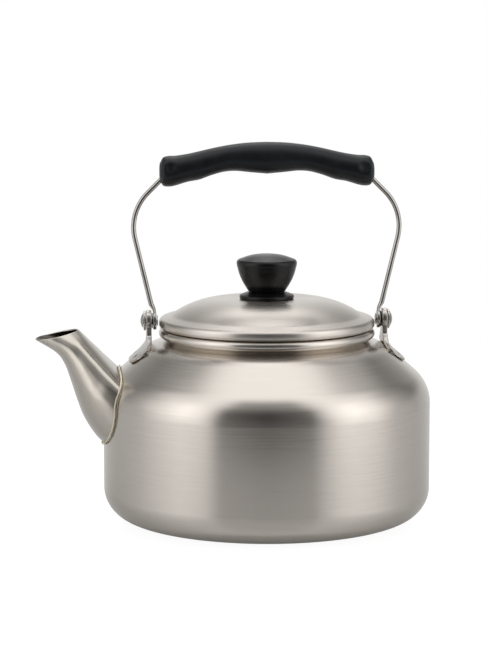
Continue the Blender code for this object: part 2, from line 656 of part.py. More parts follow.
def make_ear(name, side):
    half = ear_pattern()
    outline = half + [(-u, v) for u, v in half[-2:0:-1]]
    hole = [(PIVOT_HOLE_RADIUS * cos(a), PIVOT_HOLE_RADIUS * sin(a))
            for a in np.linspace(0, 2 * pi, SMALL_STEPS, endpoint=False)]
    ear = closed_outlines(name, [outline, hole], BRUSHED_STEEL)
    shape = bmesh.new()
    shape.from_mesh(ear.data)
    bmesh.ops.dissolve_limit(shape, angle_limit=radians(1), verts=shape.verts, edges=shape.edges)
    length = max(v for u, v in half)
    rows = np.arange(EAR_HEAD_RADIUS, length - EAR_GRID / 2, EAR_GRID)
    columns = np.linspace(-EAR_FOOT_HALF_WIDTH, EAR_FOOT_HALF_WIDTH, 8)[1:-1]
    lines = [(Vector((0, v, 0)), Vector((0, 1, 0))) for v in rows]
    lines += [(Vector((u, 0, 0)), Vector((1, 0, 0))) for u in columns]
    for place, normal in lines:
        everything = shape.verts[:] + shape.edges[:] + shape.faces[:]
        bmesh.ops.bisect_plane(shape, geom=everything, plane_co=place, plane_no=normal, dist=EAR_LEAST_EDGE / 2)
    bmesh.ops.dissolve_degenerate(shape, dist=EAR_LEAST_EDGE, edges=shape.edges)
    loose = [edge for edge in shape.edges if not edge.link_faces]
    bmesh.ops.delete(shape, geom=loose, context="EDGES")
    for vert in shape.verts:
        across, down = vert.co.x, vert.co.y
        x, z = fold_ear(across, down)
        vert.co = (side * x, side * across, z)
    bmesh.ops.recalc_face_normals(shape, faces=shape.faces)
    shape.to_mesh(ear.data)
    shape.free()
    sheet = ear.modifiers.new("sheet", "SOLIDIFY")
    sheet.thickness = EAR_THICKNESS
    sheet.offset = 0
    edge = ear.modifiers.new("edge", "BEVEL")
    edge.width = EAR_EDGE_ROUNDING
    edge.segments = 1
    edge.limit_method = "ANGLE"
    edge.angle_limit = radians(60)
    return ear


def stand_out(thing, side, distance):
    """Turns a piece made along Z to point outwards along X, its foot at a distance from the axis."""
    thing.rotation_euler = (0, side * pi / 2, 0)
    thing.location = (side * distance, 0, PIVOT_HEIGHT)


def make_pivot(side_name, side):
    make_ear(f"bail_ear_{side_name}", side)
    friction = washer(f"friction_washer_{side_name}", PIVOT_HOLE_RADIUS, FRICTION_WASHER_RADIUS,
                      FRICTION_WASHER_THICKNESS, SMALL_STEPS, BLACK_NYLON)
    stand_out(friction, side, EYE_OUTSIDE + SEAT_GAP)
    cup = washer(f"cup_washer_{side_name}", PIVOT_HOLE_RADIUS, CUP_WASHER_RADIUS, CUP_WASHER_THICKNESS,
                 SMALL_STEPS, BRUSHED_STEEL)
    stand_out(cup, side, EAR_OUTSIDE + SEAT_GAP)
    head_foot = EAR_OUTSIDE + CUP_WASHER_THICKNESS + 2 * SEAT_GAP
    tail_top = EYE_INSIDE - SEAT_GAP - head_foot
    dome_radius = (RIVET_HEAD_RADIUS ** 2 + RIVET_HEAD_HEIGHT ** 2) / (2 * RIVET_HEAD_HEIGHT)
    dome = [(dome_radius * sin(a), RIVET_HEAD_HEIGHT - dome_radius * (1 - cos(a)))
            for a in np.linspace(0, asin(RIVET_HEAD_RADIUS / dome_radius), 5)]
    profile = dome + [
        (RIVET_RADIUS, 0.0),
        (RIVET_RADIUS, tail_top),
        (RIVET_TAIL_RADIUS, tail_top),
        (RIVET_TAIL_RADIUS * 0.85, tail_top - RIVET_TAIL_HEIGHT),
        (0.0, tail_top - RIVET_TAIL_HEIGHT)]
    rivet = turned(f"bail_rivet_{side_name}", profile, SMALL_STEPS, POLISHED_STEEL)
    stand_out(rivet, side, head_foot)


# Bail wire and grip

def wire_half():
    """Middle of the bail wire from the right-hand eye to the middle of the grip, as (x, rise) points."""
    inset, arch_drop = WIRE_GRIP_ENTRY
    entry = GRIP_STATIONS[-1][0] - inset

    def arch(x):
        return x, GRIP_RISE - arch_drop * (x / entry) ** 2

    along = np.linspace(entry, 0, 7)
    leg = rounded([
        (EYE_MIDDLE, EYE_RADIUS * 0.8),
        (EYE_MIDDLE + WIRE_KNEE[0], WIRE_KNEE[1], WIRE_KNEE_ROUNDING),
        (EYE_MIDDLE + WIRE_LEG_FOOT[0], WIRE_LEG_FOOT[1], WIRE_KNEE_ROUNDING),
        (EYE_MIDDLE + WIRE_CORNER[0], GRIP_RISE - WIRE_CORNER[1], WIRE_CORNER_ROUNDING),
        (*arch(entry), WIRE_ENTRY_ROUNDING),
        arch(along[1])])
    return leg + [arch(x) for x in along[2:]]


def wire_path():
    half = [Vector((x, 0, PIVOT_HEIGHT + rise)) for x, rise in wire_half()]
    return half + [Vector((-p.x, 0, p.z)) for p in half[-2::-1]]


def make_bail_wire():
    wire = tube("bail_wire", wire_path(), WIRE_RADIUS, 2, POLISHED_STEEL)
    flat = EYE_THICKNESS * WIRE_FORGED_THINNING / (2 * WIRE_RADIUS)
    for vert in wire.data.vertices:
        rise = vert.co.z - PIVOT_HEIGHT
        share = min(max((WIRE_FORGED_END - rise) / (WIRE_FORGED_END - EYE_RADIUS), 0), 1)
        if share > 0:
            side = 1 if vert.co.x > 0 else -1
            middle = side * EYE_MIDDLE
            vert.co.x = middle + (vert.co.x - middle) * (1 - share * (1 - flat))
            vert.co.y *= 1 + share * (WIRE_FORGED_WIDTH - 1)
    for side, side_name in ((-1, "left"), (1, "right")):
        eye = washer(f"eye_{side_name}", PIVOT_HOLE_RADIUS, EYE_RADIUS, EYE_THICKNESS, SMALL_STEPS, None, CUTTERS)
        stand_out(eye, side, EYE_INSIDE)
        cut(wire, eye, "UNION")
    return wire


def make_grip():
    """The moulded grip: oval sections over an arched back, with finger hollows underneath."""
    half = through(GRIP_STATIONS, GRIP_RINGS)
    stations = list(half[::-1]) + [(-x, top, under, depth) for x, top, under, depth in half[1:]]
    rings = []
    for x, top, under, depth in stations:
        middle = PIVOT_HEIGHT + GRIP_RISE + (top + under) / 2
        height = (top - under) / 2
        rings.append([(x, depth * sin(a), middle + height * cos(a))
                      for a in np.linspace(0, 2 * pi, GRIP_SIDES, endpoint=False)])
    grip = loft("bail_grip", rings, BLACK_RESIN, capped=True)
    bore = tube("grip_bore", wire_path(), WIRE_RADIUS + PIN_CLEARANCE, 2, None, collection=CUTTERS)
    cut(grip, bore)
    return grip


def make_kettle():
    smooth(make_spout())
    make_body()
    make_braze()
    make_lid()
    make_lid_ring()
    make_knob_seat()
    make_knob()
    make_knob_fixings()
    for side_name, side in (("left", -1), ("right", 1)):
        make_pivot(side_name, side)
    smooth(make_bail_wire())
    smooth(make_grip())


make_kettle()
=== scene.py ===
# %% [markdown]
# # A stainless tea kettle
#
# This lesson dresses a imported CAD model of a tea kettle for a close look. The model is the fixed frame:
# it says where each piece is and what it rides on. Each coarse solid gets a fine piece in its place.
# The kettle is thin sheet metal, so most pieces are turned about an axis from one drawn line.

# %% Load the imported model
import json
from math import acos, asin, atan2, ceil, cos, hypot, pi, radians, sin, tan

import bmesh
import bpy
import numpy as np
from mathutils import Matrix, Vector


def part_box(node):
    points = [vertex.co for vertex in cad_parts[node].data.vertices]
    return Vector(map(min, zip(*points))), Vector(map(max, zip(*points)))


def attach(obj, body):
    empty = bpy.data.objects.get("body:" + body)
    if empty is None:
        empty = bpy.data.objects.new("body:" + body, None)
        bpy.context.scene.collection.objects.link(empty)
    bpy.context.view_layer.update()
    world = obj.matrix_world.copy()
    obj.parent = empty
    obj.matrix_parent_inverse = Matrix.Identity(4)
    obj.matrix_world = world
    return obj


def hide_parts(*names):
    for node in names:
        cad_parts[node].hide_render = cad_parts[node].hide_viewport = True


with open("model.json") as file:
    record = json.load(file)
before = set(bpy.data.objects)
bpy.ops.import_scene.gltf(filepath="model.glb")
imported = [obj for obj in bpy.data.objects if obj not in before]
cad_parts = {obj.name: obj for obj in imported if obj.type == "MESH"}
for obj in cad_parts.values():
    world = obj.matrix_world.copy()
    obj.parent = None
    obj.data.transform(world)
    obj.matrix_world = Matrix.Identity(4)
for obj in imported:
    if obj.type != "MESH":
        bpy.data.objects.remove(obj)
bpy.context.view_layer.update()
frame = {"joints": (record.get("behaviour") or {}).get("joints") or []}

mm = 0.001
PIVOT_HEIGHT = frame["joints"][0]["pos_m"][2]

# %% [markdown]
# ## The camera
#
# The photograph looks slightly down on the kettle from in front, with the spout turned a few degrees
# towards the viewer. A long lens from over a metre away gives the same gentle perspective. The camera
# comes first, so that every later look is through the same eye.

# %% Camera
CAMERA_DISTANCE = 1.272
CAMERA_HEIGHT = 0.2755
CAMERA_PITCH = radians(7.85)
CAMERA_YAW = radians(4.0)
CAMERA_SIDE = -0.0118
CAMERA_LENS = 136.8


def add_camera():
    bpy.ops.object.select_all(action="DESELECT")
    away = Vector((-sin(CAMERA_YAW), -cos(CAMERA_YAW), 0)) * CAMERA_DISTANCE
    aside = Vector((cos(CAMERA_YAW), -sin(CAMERA_YAW), 0)) * CAMERA_SIDE
    place = away + aside + Vector((0, 0, CAMERA_HEIGHT))
    bpy.ops.object.camera_add(location=place, rotation=(pi / 2 - CAMERA_PITCH, 0, -CAMERA_YAW))
    camera = bpy.context.object
    camera.name = "camera"
    camera.data.lens = CAMERA_LENS
    camera.data.clip_start = 0.05
    bpy.context.scene.camera = camera
    print("camera at", tuple(round(v, 3) for v in place))


add_camera()

# %% [markdown]
# ## Working as by hand
#
# Blender's operators act on what is selected, so every step starts by deselecting all. These helpers do
# what a hand does with keys: leave edit mode, enter it on one piece, and apply a modifier at once.

# %% Helpers for the hand's moves
MERGE_DISTANCE = 0.002 * mm
SHARP_ANGLE = radians(60)


def leave():
    if bpy.context.object and bpy.context.object.mode == "EDIT":
        bpy.ops.object.mode_set(mode="OBJECT")
    bpy.ops.object.select_all(action="DESELECT")


def hold(piece):
    leave()
    piece.select_set(True)
    bpy.context.view_layer.objects.active = piece


def edit(piece, mode="VERT"):
    hold(piece)
    bpy.ops.object.mode_set(mode="EDIT")
    bpy.ops.mesh.select_mode(type=mode)
    bpy.ops.mesh.select_all(action="SELECT")


def close_and_face_out(piece):
    """Merges what coincides, then turns all faces outwards, on an open sheet too."""
    edit(piece)
    bpy.ops.mesh.remove_doubles(threshold=MERGE_DISTANCE)
    bpy.ops.mesh.normals_make_consistent(inside=False)
    leave()
    faces = piece.data.polygons
    middle = sum((face.center for face in faces), Vector()) / len(faces)
    if sum(face.area * face.normal.dot(face.center - middle) for face in faces) < 0:
        edit(piece)
        bpy.ops.mesh.flip_normals()
        leave()
    return piece


def apply(piece, kind, **settings):
    hold(piece)
    bpy.ops.object.modifier_add(type=kind)
    step = piece.modifiers[-1]
    for name, value in settings.items():
        setattr(step, name, value)
    bpy.ops.object.modifier_apply(modifier=step.name)


def smooth(piece, angle=30):
    hold(piece)
    bpy.ops.object.shade_smooth_by_angle(angle=radians(angle))
    leave()


def thicken(piece, thickness, **settings):
    """Gives a drawn sheet its thickness, inwards from the side that was drawn."""
    apply(piece, "SOLIDIFY", thickness=thickness, offset=-1, use_even_offset=True, **settings)


def round_rim(piece, width):
    apply(piece, "BEVEL", width=width, segments=3, limit_method="ANGLE", angle_limit=SHARP_ANGLE,
          use_clamp_overlap=False)


def combine(piece, other, operation="DIFFERENCE"):
    """Cuts another piece out of this one, or joins it on, and takes the other away."""
    apply(piece, "BOOLEAN", operation=operation, solver="EXACT", object=other)
    hold(other)
    bpy.ops.object.delete()


# %% [markdown]
# ## Lines with rounded corners
#
# Drawn sheet metal has no sharp corners: a press can't make them. A piece's line is given as corners,
# each with its rounding, and this turns them into a fine path of short steps. Other helpers move a path
# sideways by a sheet's thickness, put a smooth curve through measured sections, and say how far along a
# path each of its points lies.

# %% Rounded paths
ARC_SAG = 0.012 * mm


def arc(centre, radius, start, end):
    step = 2 * acos(1 - min(ARC_SAG / radius, 0.1))
    count = int(ceil(abs(end - start) / step)) + 1
    return [(centre[0] + radius * cos(a), centre[1] + radius * sin(a))
            for a in np.linspace(start, end, count)]


def rounded(corners):
    """A flat path through (x, z, rounding) corners, each one rounded by a tangent arc."""
    path = [corners[0][:2]]
    for before, corner, after in zip(corners, corners[1:], corners[2:]):
        point = Vector(corner[:2])
        if len(corner) < 3:
            path.append(corner)
            continue
        back = (Vector(before[:2]) - point).normalized()
        ahead = (Vector(after[:2]) - point).normalized()
        half = back.angle(ahead) / 2
        centre = point + (back + ahead).normalized() * (corner[2] / sin(half))
        first = point + back * (corner[2] / tan(half)) - centre
        last = point + ahead * (corner[2] / tan(half)) - centre
        start = atan2(first.y, first.x)
        turn_by = (atan2(last.y, last.x) - start + pi) % (2 * pi) - pi
        path += arc(centre, corner[2], start, start + turn_by)
    return path + [corners[-1][:2]]


def moved_left(path, distance):
    """The same path moved to its left-hand side, seen with x to the right and z up."""
    points = np.array(path)
    steps = np.diff(points, axis=0)
    normals = np.column_stack([-steps[:, 1], steps[:, 0]]) / np.hypot(*steps.T)[:, None]
    before, after = np.vstack([normals[:1], normals]), np.vstack([normals, normals[-1:]])
    middle = (before + after) / (1 + (before * after).sum(axis=1))[:, None]
    return [tuple(p) for p in points + middle * distance]


def through(rows, count):
    """Smooth rows of numbers through the given ones, by a cubic that passes each of them."""
    rows = np.array(rows, dtype=float)
    padded = np.vstack([2 * rows[0] - rows[1], rows, 2 * rows[-1] - rows[-2]])
    result = []
    for place in np.linspace(0, len(rows) - 1, count):
        i = min(int(place), len(rows) - 2)
        t = place - i
        a, b, c, d = padded[i:i + 4]
        result.append(0.5 * (2 * b + (c - a) * t + (2 * a - 5 * b + 4 * c - d) * t ** 2
                             + (3 * b - a - 3 * c + d) * t ** 3))
    return np.array(result)


def run_along(points):
    """How far along a flat path each of its points lies."""
    steps = np.diff(points, axis=0)
    return np.append(0, np.cumsum(np.hypot(steps[:, 0], steps[:, 1])))


print("a quarter circle of 10 mm takes", len(arc((0, 0), 10 * mm, 0, pi / 2)), "points")

# %% [markdown]
# ## Turning a piece from its line
#
# A potter, a lathe and Blender's Spin all work alike: one line goes round an axis. The line starts as a
# plane merged to a single point, which is then extruded point by point. After the spin the seam and the
# pole are merged, and only then are the faces turned outwards, because Solidify needs to know which side
# is outside.

# %% Turn
def draw_line(name, points):
    """A line of edges through points, extruded from a single point."""
    leave()
    bpy.ops.mesh.primitive_plane_add(size=mm, location=(0, 0, 0), enter_editmode=True)
    piece = bpy.context.object
    piece.name = name
    piece.data.name = name
    bpy.ops.mesh.select_mode(type="VERT")
    bpy.ops.mesh.select_all(action="SELECT")
    bpy.ops.mesh.merge(type="CENTER")
    bpy.ops.transform.translate(value=points[0])
    for before, after in zip(points, points[1:]):
        step = tuple(b - a for a, b in zip(before, after))
        bpy.ops.mesh.extrude_vertices_move(TRANSFORM_OT_translate={"value": step})
    return piece


def turn(name, path, steps, side=0):
    """Spins a line of (radius, height) points about Z, or about the bail's pivot with heights outwards."""
    if side:
        points = [(side * h, 0, PIVOT_HEIGHT + r) for r, h in path]
        centre, axis = (0, 0, PIVOT_HEIGHT), (1, 0, 0)
    else:
        points = [(r, 0, h) for r, h in path]
        centre, axis = (0, 0, 0), (0, 0, 1)
    piece = draw_line(name, points)
    bpy.ops.mesh.select_all(action="SELECT")
    bpy.ops.mesh.spin(steps=steps, angle=2 * pi, center=centre, axis=axis)
    return close_and_face_out(piece)


def finished(piece, node, angle=30):
    """Smooths a piece, and prints its size and how far its box is from that of the solid it stands for."""
    smooth(piece, angle)
    co = np.array([v.co for v in piece.data.vertices])
    low, high = co.min(axis=0), co.max(axis=0)
    cad_low, cad_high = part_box(node)
    apart = max(np.abs(low - np.array(cad_low)).max(), np.abs(high - np.array(cad_high)).max())
    print(f"{piece.name}: {len(piece.data.polygons)} faces, {np.round((high - low) / mm, 1)} mm,",
          f"box within {apart / mm:.2f} mm of {node}")
    return piece


# %% [markdown]
# ## The drawn body
#
# The body is one sheet, drawn in a press: a flat base, a wide corner, an upright wall, a sloping
# shoulder and a short neck whose edge is rolled outwards so that it doesn't cut. Only the outside of the
# sheet is drawn as a line, and Solidify then gives it a real sheet's thickness. Last, the strainer's
# rows of small holes are punched through the wall behind the spout.

# %% Body line
BODY_SHEET = 0.8 * mm
BODY_RADIUS = 85.0 * mm
BASE_CORNER_RADIUS = 15.9 * mm
WALL_TOP = 69.9 * mm
SHOULDER_RADIUS = 20.6 * mm
SHOULDER_SLOPE = radians(41)
SHOULDER_WIDTH = 23.0 * mm
BROW_SLOPE = radians(18)
BROW_ROUNDING = 20.0 * mm
BROW_WIDTH = 9.9 * mm
NECK_ROUNDING = 4.6 * mm
NECK_HEIGHT = 3.4 * mm
MOUTH_ROLL_RADIUS = 2.4 * mm
MOUTH_ROLL_TURN = radians(290)
BODY_STEPS = 192

BROW_RADIUS = BODY_RADIUS - SHOULDER_WIDTH
BROW_HEIGHT = WALL_TOP + SHOULDER_WIDTH * tan(SHOULDER_SLOPE)
NECK_RADIUS = BROW_RADIUS - BROW_WIDTH
NECK_FOOT = BROW_HEIGHT + BROW_WIDTH * tan(BROW_SLOPE)
MOUTH_ROLL_HEIGHT = NECK_FOOT + NECK_HEIGHT
MOUTH_TOP = MOUTH_ROLL_HEIGHT + MOUTH_ROLL_RADIUS
MOUTH_RADIUS = NECK_RADIUS - BODY_SHEET

BODY_LINE = rounded([
    (0.0, 0.0),
    (BODY_RADIUS, 0.0, BASE_CORNER_RADIUS),
    (BODY_RADIUS, WALL_TOP, SHOULDER_RADIUS),
    (BROW_RADIUS, BROW_HEIGHT, BROW_ROUNDING),
    (NECK_RADIUS, NECK_FOOT, NECK_ROUNDING),
    (NECK_RADIUS, MOUTH_ROLL_HEIGHT)])
SHOULDER_LINE = [p for p in BODY_LINE if p[1] > WALL_TOP / 2][::-1]
WALL_LINE = [p for p in BODY_LINE if p[1] > BASE_CORNER_RADIUS / 2]


def shoulder_height(radius):
    return np.interp(radius, [r for r, z in SHOULDER_LINE], [z for r, z in SHOULDER_LINE])


def body_radius(height):
    return np.interp(height, [z for r, z in WALL_LINE], [r for r, z in WALL_LINE])


print("body line of", len(BODY_LINE), "points, mouth top at", round(MOUTH_TOP / mm, 2), "mm")

# %% Body
STRAINER_HOLE_RADIUS = 2.25 * mm
STRAINER_HOLE_SIDES = 20
STRAINER_PITCH = 7.6 * mm
STRAINER_ROWS = (3, 4, 5, 4)
STRAINER_FOOT = 20.4 * mm
DRILL_LENGTH = 30 * mm


def joined(pieces, name):
    leave()
    for piece in pieces:
        piece.select_set(True)
    bpy.context.view_layer.objects.active = pieces[0]
    bpy.ops.object.join()
    pieces[0].name = name
    return pieces[0]


def drill(place, radius, rotation=(0, 0, 0), sides=32):
    leave()
    bpy.ops.mesh.primitive_cylinder_add(vertices=sides, radius=radius, depth=DRILL_LENGTH, location=place,
                                        rotation=rotation)
    bpy.ops.object.transform_apply(location=True, rotation=True, scale=True)
    return bpy.context.object


def make_body():
    inner_roll = MOUTH_ROLL_RADIUS - BODY_SHEET
    roll = arc((NECK_RADIUS + inner_roll, MOUTH_ROLL_HEIGHT), inner_roll, pi, pi - MOUTH_ROLL_TURN)
    body = turn("drawn_body", BODY_LINE[:-1] + roll, BODY_STEPS)
    thicken(body, BODY_SHEET)
    drills = []
    for row, count in enumerate(STRAINER_ROWS):
        height = WALL_TOP - STRAINER_FOOT + row * STRAINER_PITCH * sin(radians(60))
        for i in range(count):
            across = (i - (count - 1) / 2) * STRAINER_PITCH
            drills.append(drill((-BODY_RADIUS, across, height), STRAINER_HOLE_RADIUS, (0, pi / 2, 0),
                                STRAINER_HOLE_SIDES))
    combine(body, joined(drills, "strainer_drills"))
    return finished(body, "kettle_body")


body = make_body()

# %% [markdown]
# ## Rolling a sheet into shape
#
# The spout, the grip and the ears aren't round, so they can't be turned. Each starts as a flat grid, and
# every row of the grid is laid on a closed section, as a sheet is rolled round a former. The grid's own
# UV map comes along, so a brushed pattern can follow the piece later.

# %% Roll
def rolled(name, rings):
    """A sheet laid on closed rings of as many points each; rings follow one another along the piece."""
    around, along = len(rings[0]), len(rings)
    leave()
    bpy.ops.mesh.primitive_grid_add(x_subdivisions=around, y_subdivisions=along - 1, size=2, calc_uvs=True,
                                    location=(0, 0, 0))
    piece = bpy.context.object
    piece.name = name
    piece.data.name = name
    for vertex in piece.data.vertices:
        i = round((vertex.co.x + 1) / 2 * around) % around
        j = round((vertex.co.y + 1) / 2 * (along - 1))
        vertex.co = rings[j][i]
    return close_and_face_out(piece)


# %% [markdown]
# ## The spout
#
# The spout is drawn from its own sheet: nearly round at the slanted lip and wide and egg-shaped at the
# root, where it is cut to the curve of the shoulder. Its sections are measured at eight stations and a
# smooth curve goes through them. The inside is rougher and painted dark for the shade within the spout,
# so the sheet has two material slots, and Solidify gives the inner side the second. The body's line,
# grown by a small gap and turned, cuts the root to fit.

# %% Spout
SEAT_GAP = 0.3 * mm
SPOUT_SHEET = 0.8 * mm
# Each station: (low point out, up), (high point out, up), half width, squareness of the low and of the
# high half, and how far the widest line is moved towards the high side
SPOUT_STATIONS = (
    ((35.0, 23.9), (12.8, 28.9), 10.2, 2.0, 2.0, 0.0),
    ((24.6, 17.4), (10.1, 26.2), 14.2, 2.0, 2.2, 0.0),
    ((20.1, 11.4), (6.9, 22.8), 17.2, 2.0, 2.5, 0.0),
    ((17.0, 3.0), (2.5, 18.3), 21.0, 2.0, 2.8, 0.05),
    ((13.6, -7.6), (-2.5, 13.0), 25.2, 2.0, 3.2, 0.11),
    ((9.6, -17.6), (-7.2, 8.2), 28.8, 1.95, 3.6, 0.21),
    ((2.2, -28.2), (-12.0, 3.2), 31.5, 1.95, 3.9, 0.33),
    ((-9.0, -36.0), (-19.0, -4.0), 33.0, 2.0, 4.0, 0.43),
)
SPOUT_LIP_ROUNDING = 0.25 * mm
SPOUT_RINGS = 72
SPOUT_SIDES = 120


def spout_rings(count, sides):
    rows = through([(*low, *high, *rest) for low, high, *rest in SPOUT_STATIONS], count)
    rings = []
    for low_out, low_up, high_out, high_up, width, low_square, high_square, shift in rows:
        low = Vector((-(BODY_RADIUS + low_out * mm), 0, WALL_TOP + low_up * mm))
        high = Vector((-(BODY_RADIUS + high_out * mm), 0, WALL_TOP + high_up * mm))
        ring = []
        for a in np.linspace(pi, 3 * pi, sides, endpoint=False):
            square, reach = (high_square, 1 - shift) if cos(a) >= 0 else (low_square, 1 + shift)
            up = shift + reach * abs(cos(a)) ** (2 / square) * np.sign(cos(a))
            across = abs(sin(a)) ** (2 / square) * np.sign(sin(a))
            ring.append((low + high) / 2 + (high - low) / 2 * up + Vector((0, width * mm * across, 0)))
        rings.append(ring)
    return rings


def make_spout():
    spout = rolled("drawn_spout", spout_rings(SPOUT_RINGS, SPOUT_SIDES))
    for side_name in ("outside", "inside"):
        spout.data.materials.append(bpy.data.materials.new(side_name))
    thicken(spout, SPOUT_SHEET, material_offset=1)
    round_rim(spout, SPOUT_LIP_ROUNDING)
    room = moved_left(BODY_LINE, -SEAT_GAP)
    room = [(0, room[0][1])] + room[1:] + [(0, room[-1][1])]
    combine(spout, turn("spout_trim", room, BODY_STEPS))
    return finished(spout, "spout")


spout = make_spout()

# %% [markdown]
# ## The braze round the spout
#
# A thin bead of pale gold filler joins the spout to the body. Its line is found where each line along the
# spout meets the shoulder. The line of edges is turned into a curve, the curve gets a round bevel, and its
# thickness varies a little from point to point, as a bead laid by hand does.

# %% Braze
BRAZE_RADIUS = 0.50 * mm
BRAZE_POINTS = 120
BRAZE_SIDES = 12
BRAZE_UNEVENNESS = 0.10
SEARCH_RINGS = 600
SLOPE_STEP = 0.5 * mm


def tube(name, points, radius, sides, closed=False, radii=None):
    """A round tube along points: a line of edges, turned into a curve with a bevel, and into a mesh."""
    piece = draw_line(name, list(points) + ([points[0]] if closed else []))
    bpy.ops.mesh.select_all(action="SELECT")
    bpy.ops.mesh.remove_doubles(threshold=MERGE_DISTANCE)
    hold(piece)
    bpy.ops.object.convert(target="CURVE")
    piece = bpy.context.object
    curve = piece.data
    curve.dimensions = "3D"
    curve.bevel_depth = radius
    curve.bevel_resolution = sides // 2 - 2
    curve.use_fill_caps = not closed
    if radii is not None:
        for point, share in zip(curve.splines[0].points, radii):
            point.radius = share
    bpy.ops.object.convert(target="MESH")
    piece = bpy.context.object
    piece.name = name
    return close_and_face_out(piece)


def braze_line():
    rings = np.array([[tuple(p) for p in ring] for ring in spout_rings(SEARCH_RINGS, BRAZE_POINTS)])
    bead = []
    stand_off = SEAT_GAP + BRAZE_RADIUS
    for i in range(BRAZE_POINTS):
        line = rings[:, i]
        outside = np.hypot(line[:, 0], line[:, 1]) - body_radius(line[:, 2])
        last = np.flatnonzero(outside > 0)[-1]
        point = Vector(line[last])
        along = Vector(line[last] - line[last - 1]).normalized()
        round_it = Vector(rings[last, (i + 1) % BRAZE_POINTS] - rings[last, i - 1]).normalized()
        spout_normal = along.cross(round_it).normalized()
        if spout_normal.dot(point - Vector(rings[last].mean(axis=0))) < 0:
            spout_normal.negate()
        steep = (body_radius(point.z + SLOPE_STEP) - body_radius(point.z - SLOPE_STEP)) / (2 * SLOPE_STEP)
        out = Vector((point.x, point.y, 0)).normalized()
        body_normal = (out - Vector((0, 0, steep))).normalized()
        bead.append(point + (spout_normal + body_normal) * stand_off / (1 + spout_normal.dot(body_normal)))
    return bead


def make_braze():
    lumps = [1 + BRAZE_UNEVENNESS * sin(0.9 * i) * sin(0.37 * i + 1) for i in range(BRAZE_POINTS)]
    braze = tube("braze_bead", braze_line(), BRAZE_RADIUS, BRAZE_SIDES, closed=True, radii=lumps)
    return finished(braze, "spout_braze", 60)


braze = make_braze()

# %% [markdown]
# ## The lid
#
# The lid is spun from one sheet too: a rim that rolls in underneath, a gently sloping brim, a soft step,
# and a low dome with a flat middle under the knob. A small steam hole at the back lets it breathe. A
# ring under the lid drops into the mouth and keeps the lid in place when the kettle is tipped.

# %% Lid
LID_SHEET = 0.7 * mm
LID_OVERHANG = 3.9 * mm
LID_RIM_HEIGHT = 4.6 * mm
LID_RIM_ROUNDING = 2.4 * mm
LID_RIM_RETURN = 3.0 * mm
LID_BRIM_SLOPE = radians(16)
LID_BRIM_WIDTH = 6.6 * mm
LID_STEP_ROUNDING = 7.0 * mm
LID_DOME_SLOPE = radians(33)
LID_DOME_WIDTH = 12.9 * mm
LID_CROWN_ROUNDING = 45.5 * mm
STEAM_HOLE_RADIUS = 1.6 * mm
STEAM_HOLE_INSET = 8.4 * mm
SCREW_HOLE_RADIUS = 2.3 * mm
LID_STEPS = 160

LID_RADIUS = NECK_RADIUS + LID_OVERHANG
LID_STEP_RADIUS = LID_RADIUS - LID_BRIM_WIDTH
LID_CROWN_RADIUS = LID_STEP_RADIUS - LID_DOME_WIDTH
LID_FOOT = MOUTH_TOP + SEAT_GAP
LID_BRIM_HEIGHT = LID_FOOT + LID_RIM_HEIGHT + LID_BRIM_WIDTH * tan(LID_BRIM_SLOPE)
LID_TOP = LID_BRIM_HEIGHT + LID_DOME_WIDTH * tan(LID_DOME_SLOPE)
LID_LINE = rounded([
    (SCREW_HOLE_RADIUS, LID_TOP),
    (LID_CROWN_RADIUS, LID_TOP, LID_CROWN_ROUNDING),
    (LID_STEP_RADIUS, LID_BRIM_HEIGHT, LID_STEP_ROUNDING),
    (LID_RADIUS, LID_FOOT + LID_RIM_HEIGHT, LID_RIM_ROUNDING),
    (LID_RADIUS, LID_FOOT, LID_RIM_ROUNDING * 0.75),
    (LID_RADIUS - LID_RIM_RETURN, LID_FOOT)])


def make_lid():
    lid = turn("spun_lid", LID_LINE, LID_STEPS)
    thicken(lid, LID_SHEET)
    combine(lid, drill((0, LID_STEP_RADIUS - STEAM_HOLE_INSET, LID_TOP), STEAM_HOLE_RADIUS))
    return finished(lid, "lid_dome")


lid = make_lid()

# %% Ring under the lid
LID_RING_SHEET = 0.6 * mm
LID_RING_CLEARANCE = 0.8 * mm
LID_RING_DEPTH = 11.0 * mm
LID_RING_FLANGE = 4.5 * mm
LID_RING_ROUNDING = 1.5 * mm


def make_lid_ring():
    radius = MOUTH_RADIUS - LID_RING_CLEARANCE
    under = [p for p in moved_left(LID_LINE, -LID_SHEET) if p[0] < LID_STEP_RADIUS]
    radii, heights = [r for r, z in under], [z for r, z in under]
    inner = LID_STEP_RADIUS - LID_RING_FLANGE
    corner = radius - LID_RING_ROUNDING
    drop = SEAT_GAP / cos(LID_DOME_SLOPE)
    line = rounded([
        (inner, np.interp(inner, radii, heights) - drop),
        (corner, np.interp(corner, radii, heights) - drop * 1.5, LID_RING_ROUNDING),
        (radius, np.interp(radius, radii, heights) - LID_SHEET - LID_RING_ROUNDING, LID_RING_ROUNDING),
        (radius, MOUTH_TOP - LID_RING_DEPTH)])
    ring = turn("lid_skirt", line, LID_STEPS)
    thicken(ring, LID_RING_SHEET)
    return finished(ring, "lid_ring")


lid_ring = make_lid_ring()

# %% [markdown]
# ## The knob
#
# The knob is a black moulded cup on a low seat, held by a screw from under the lid that grips a brass
# insert. Its edge is where fingers and light land, so it has its own rounding, the side swells a little
# as a moulded cone does, and the top rises in a low crown.

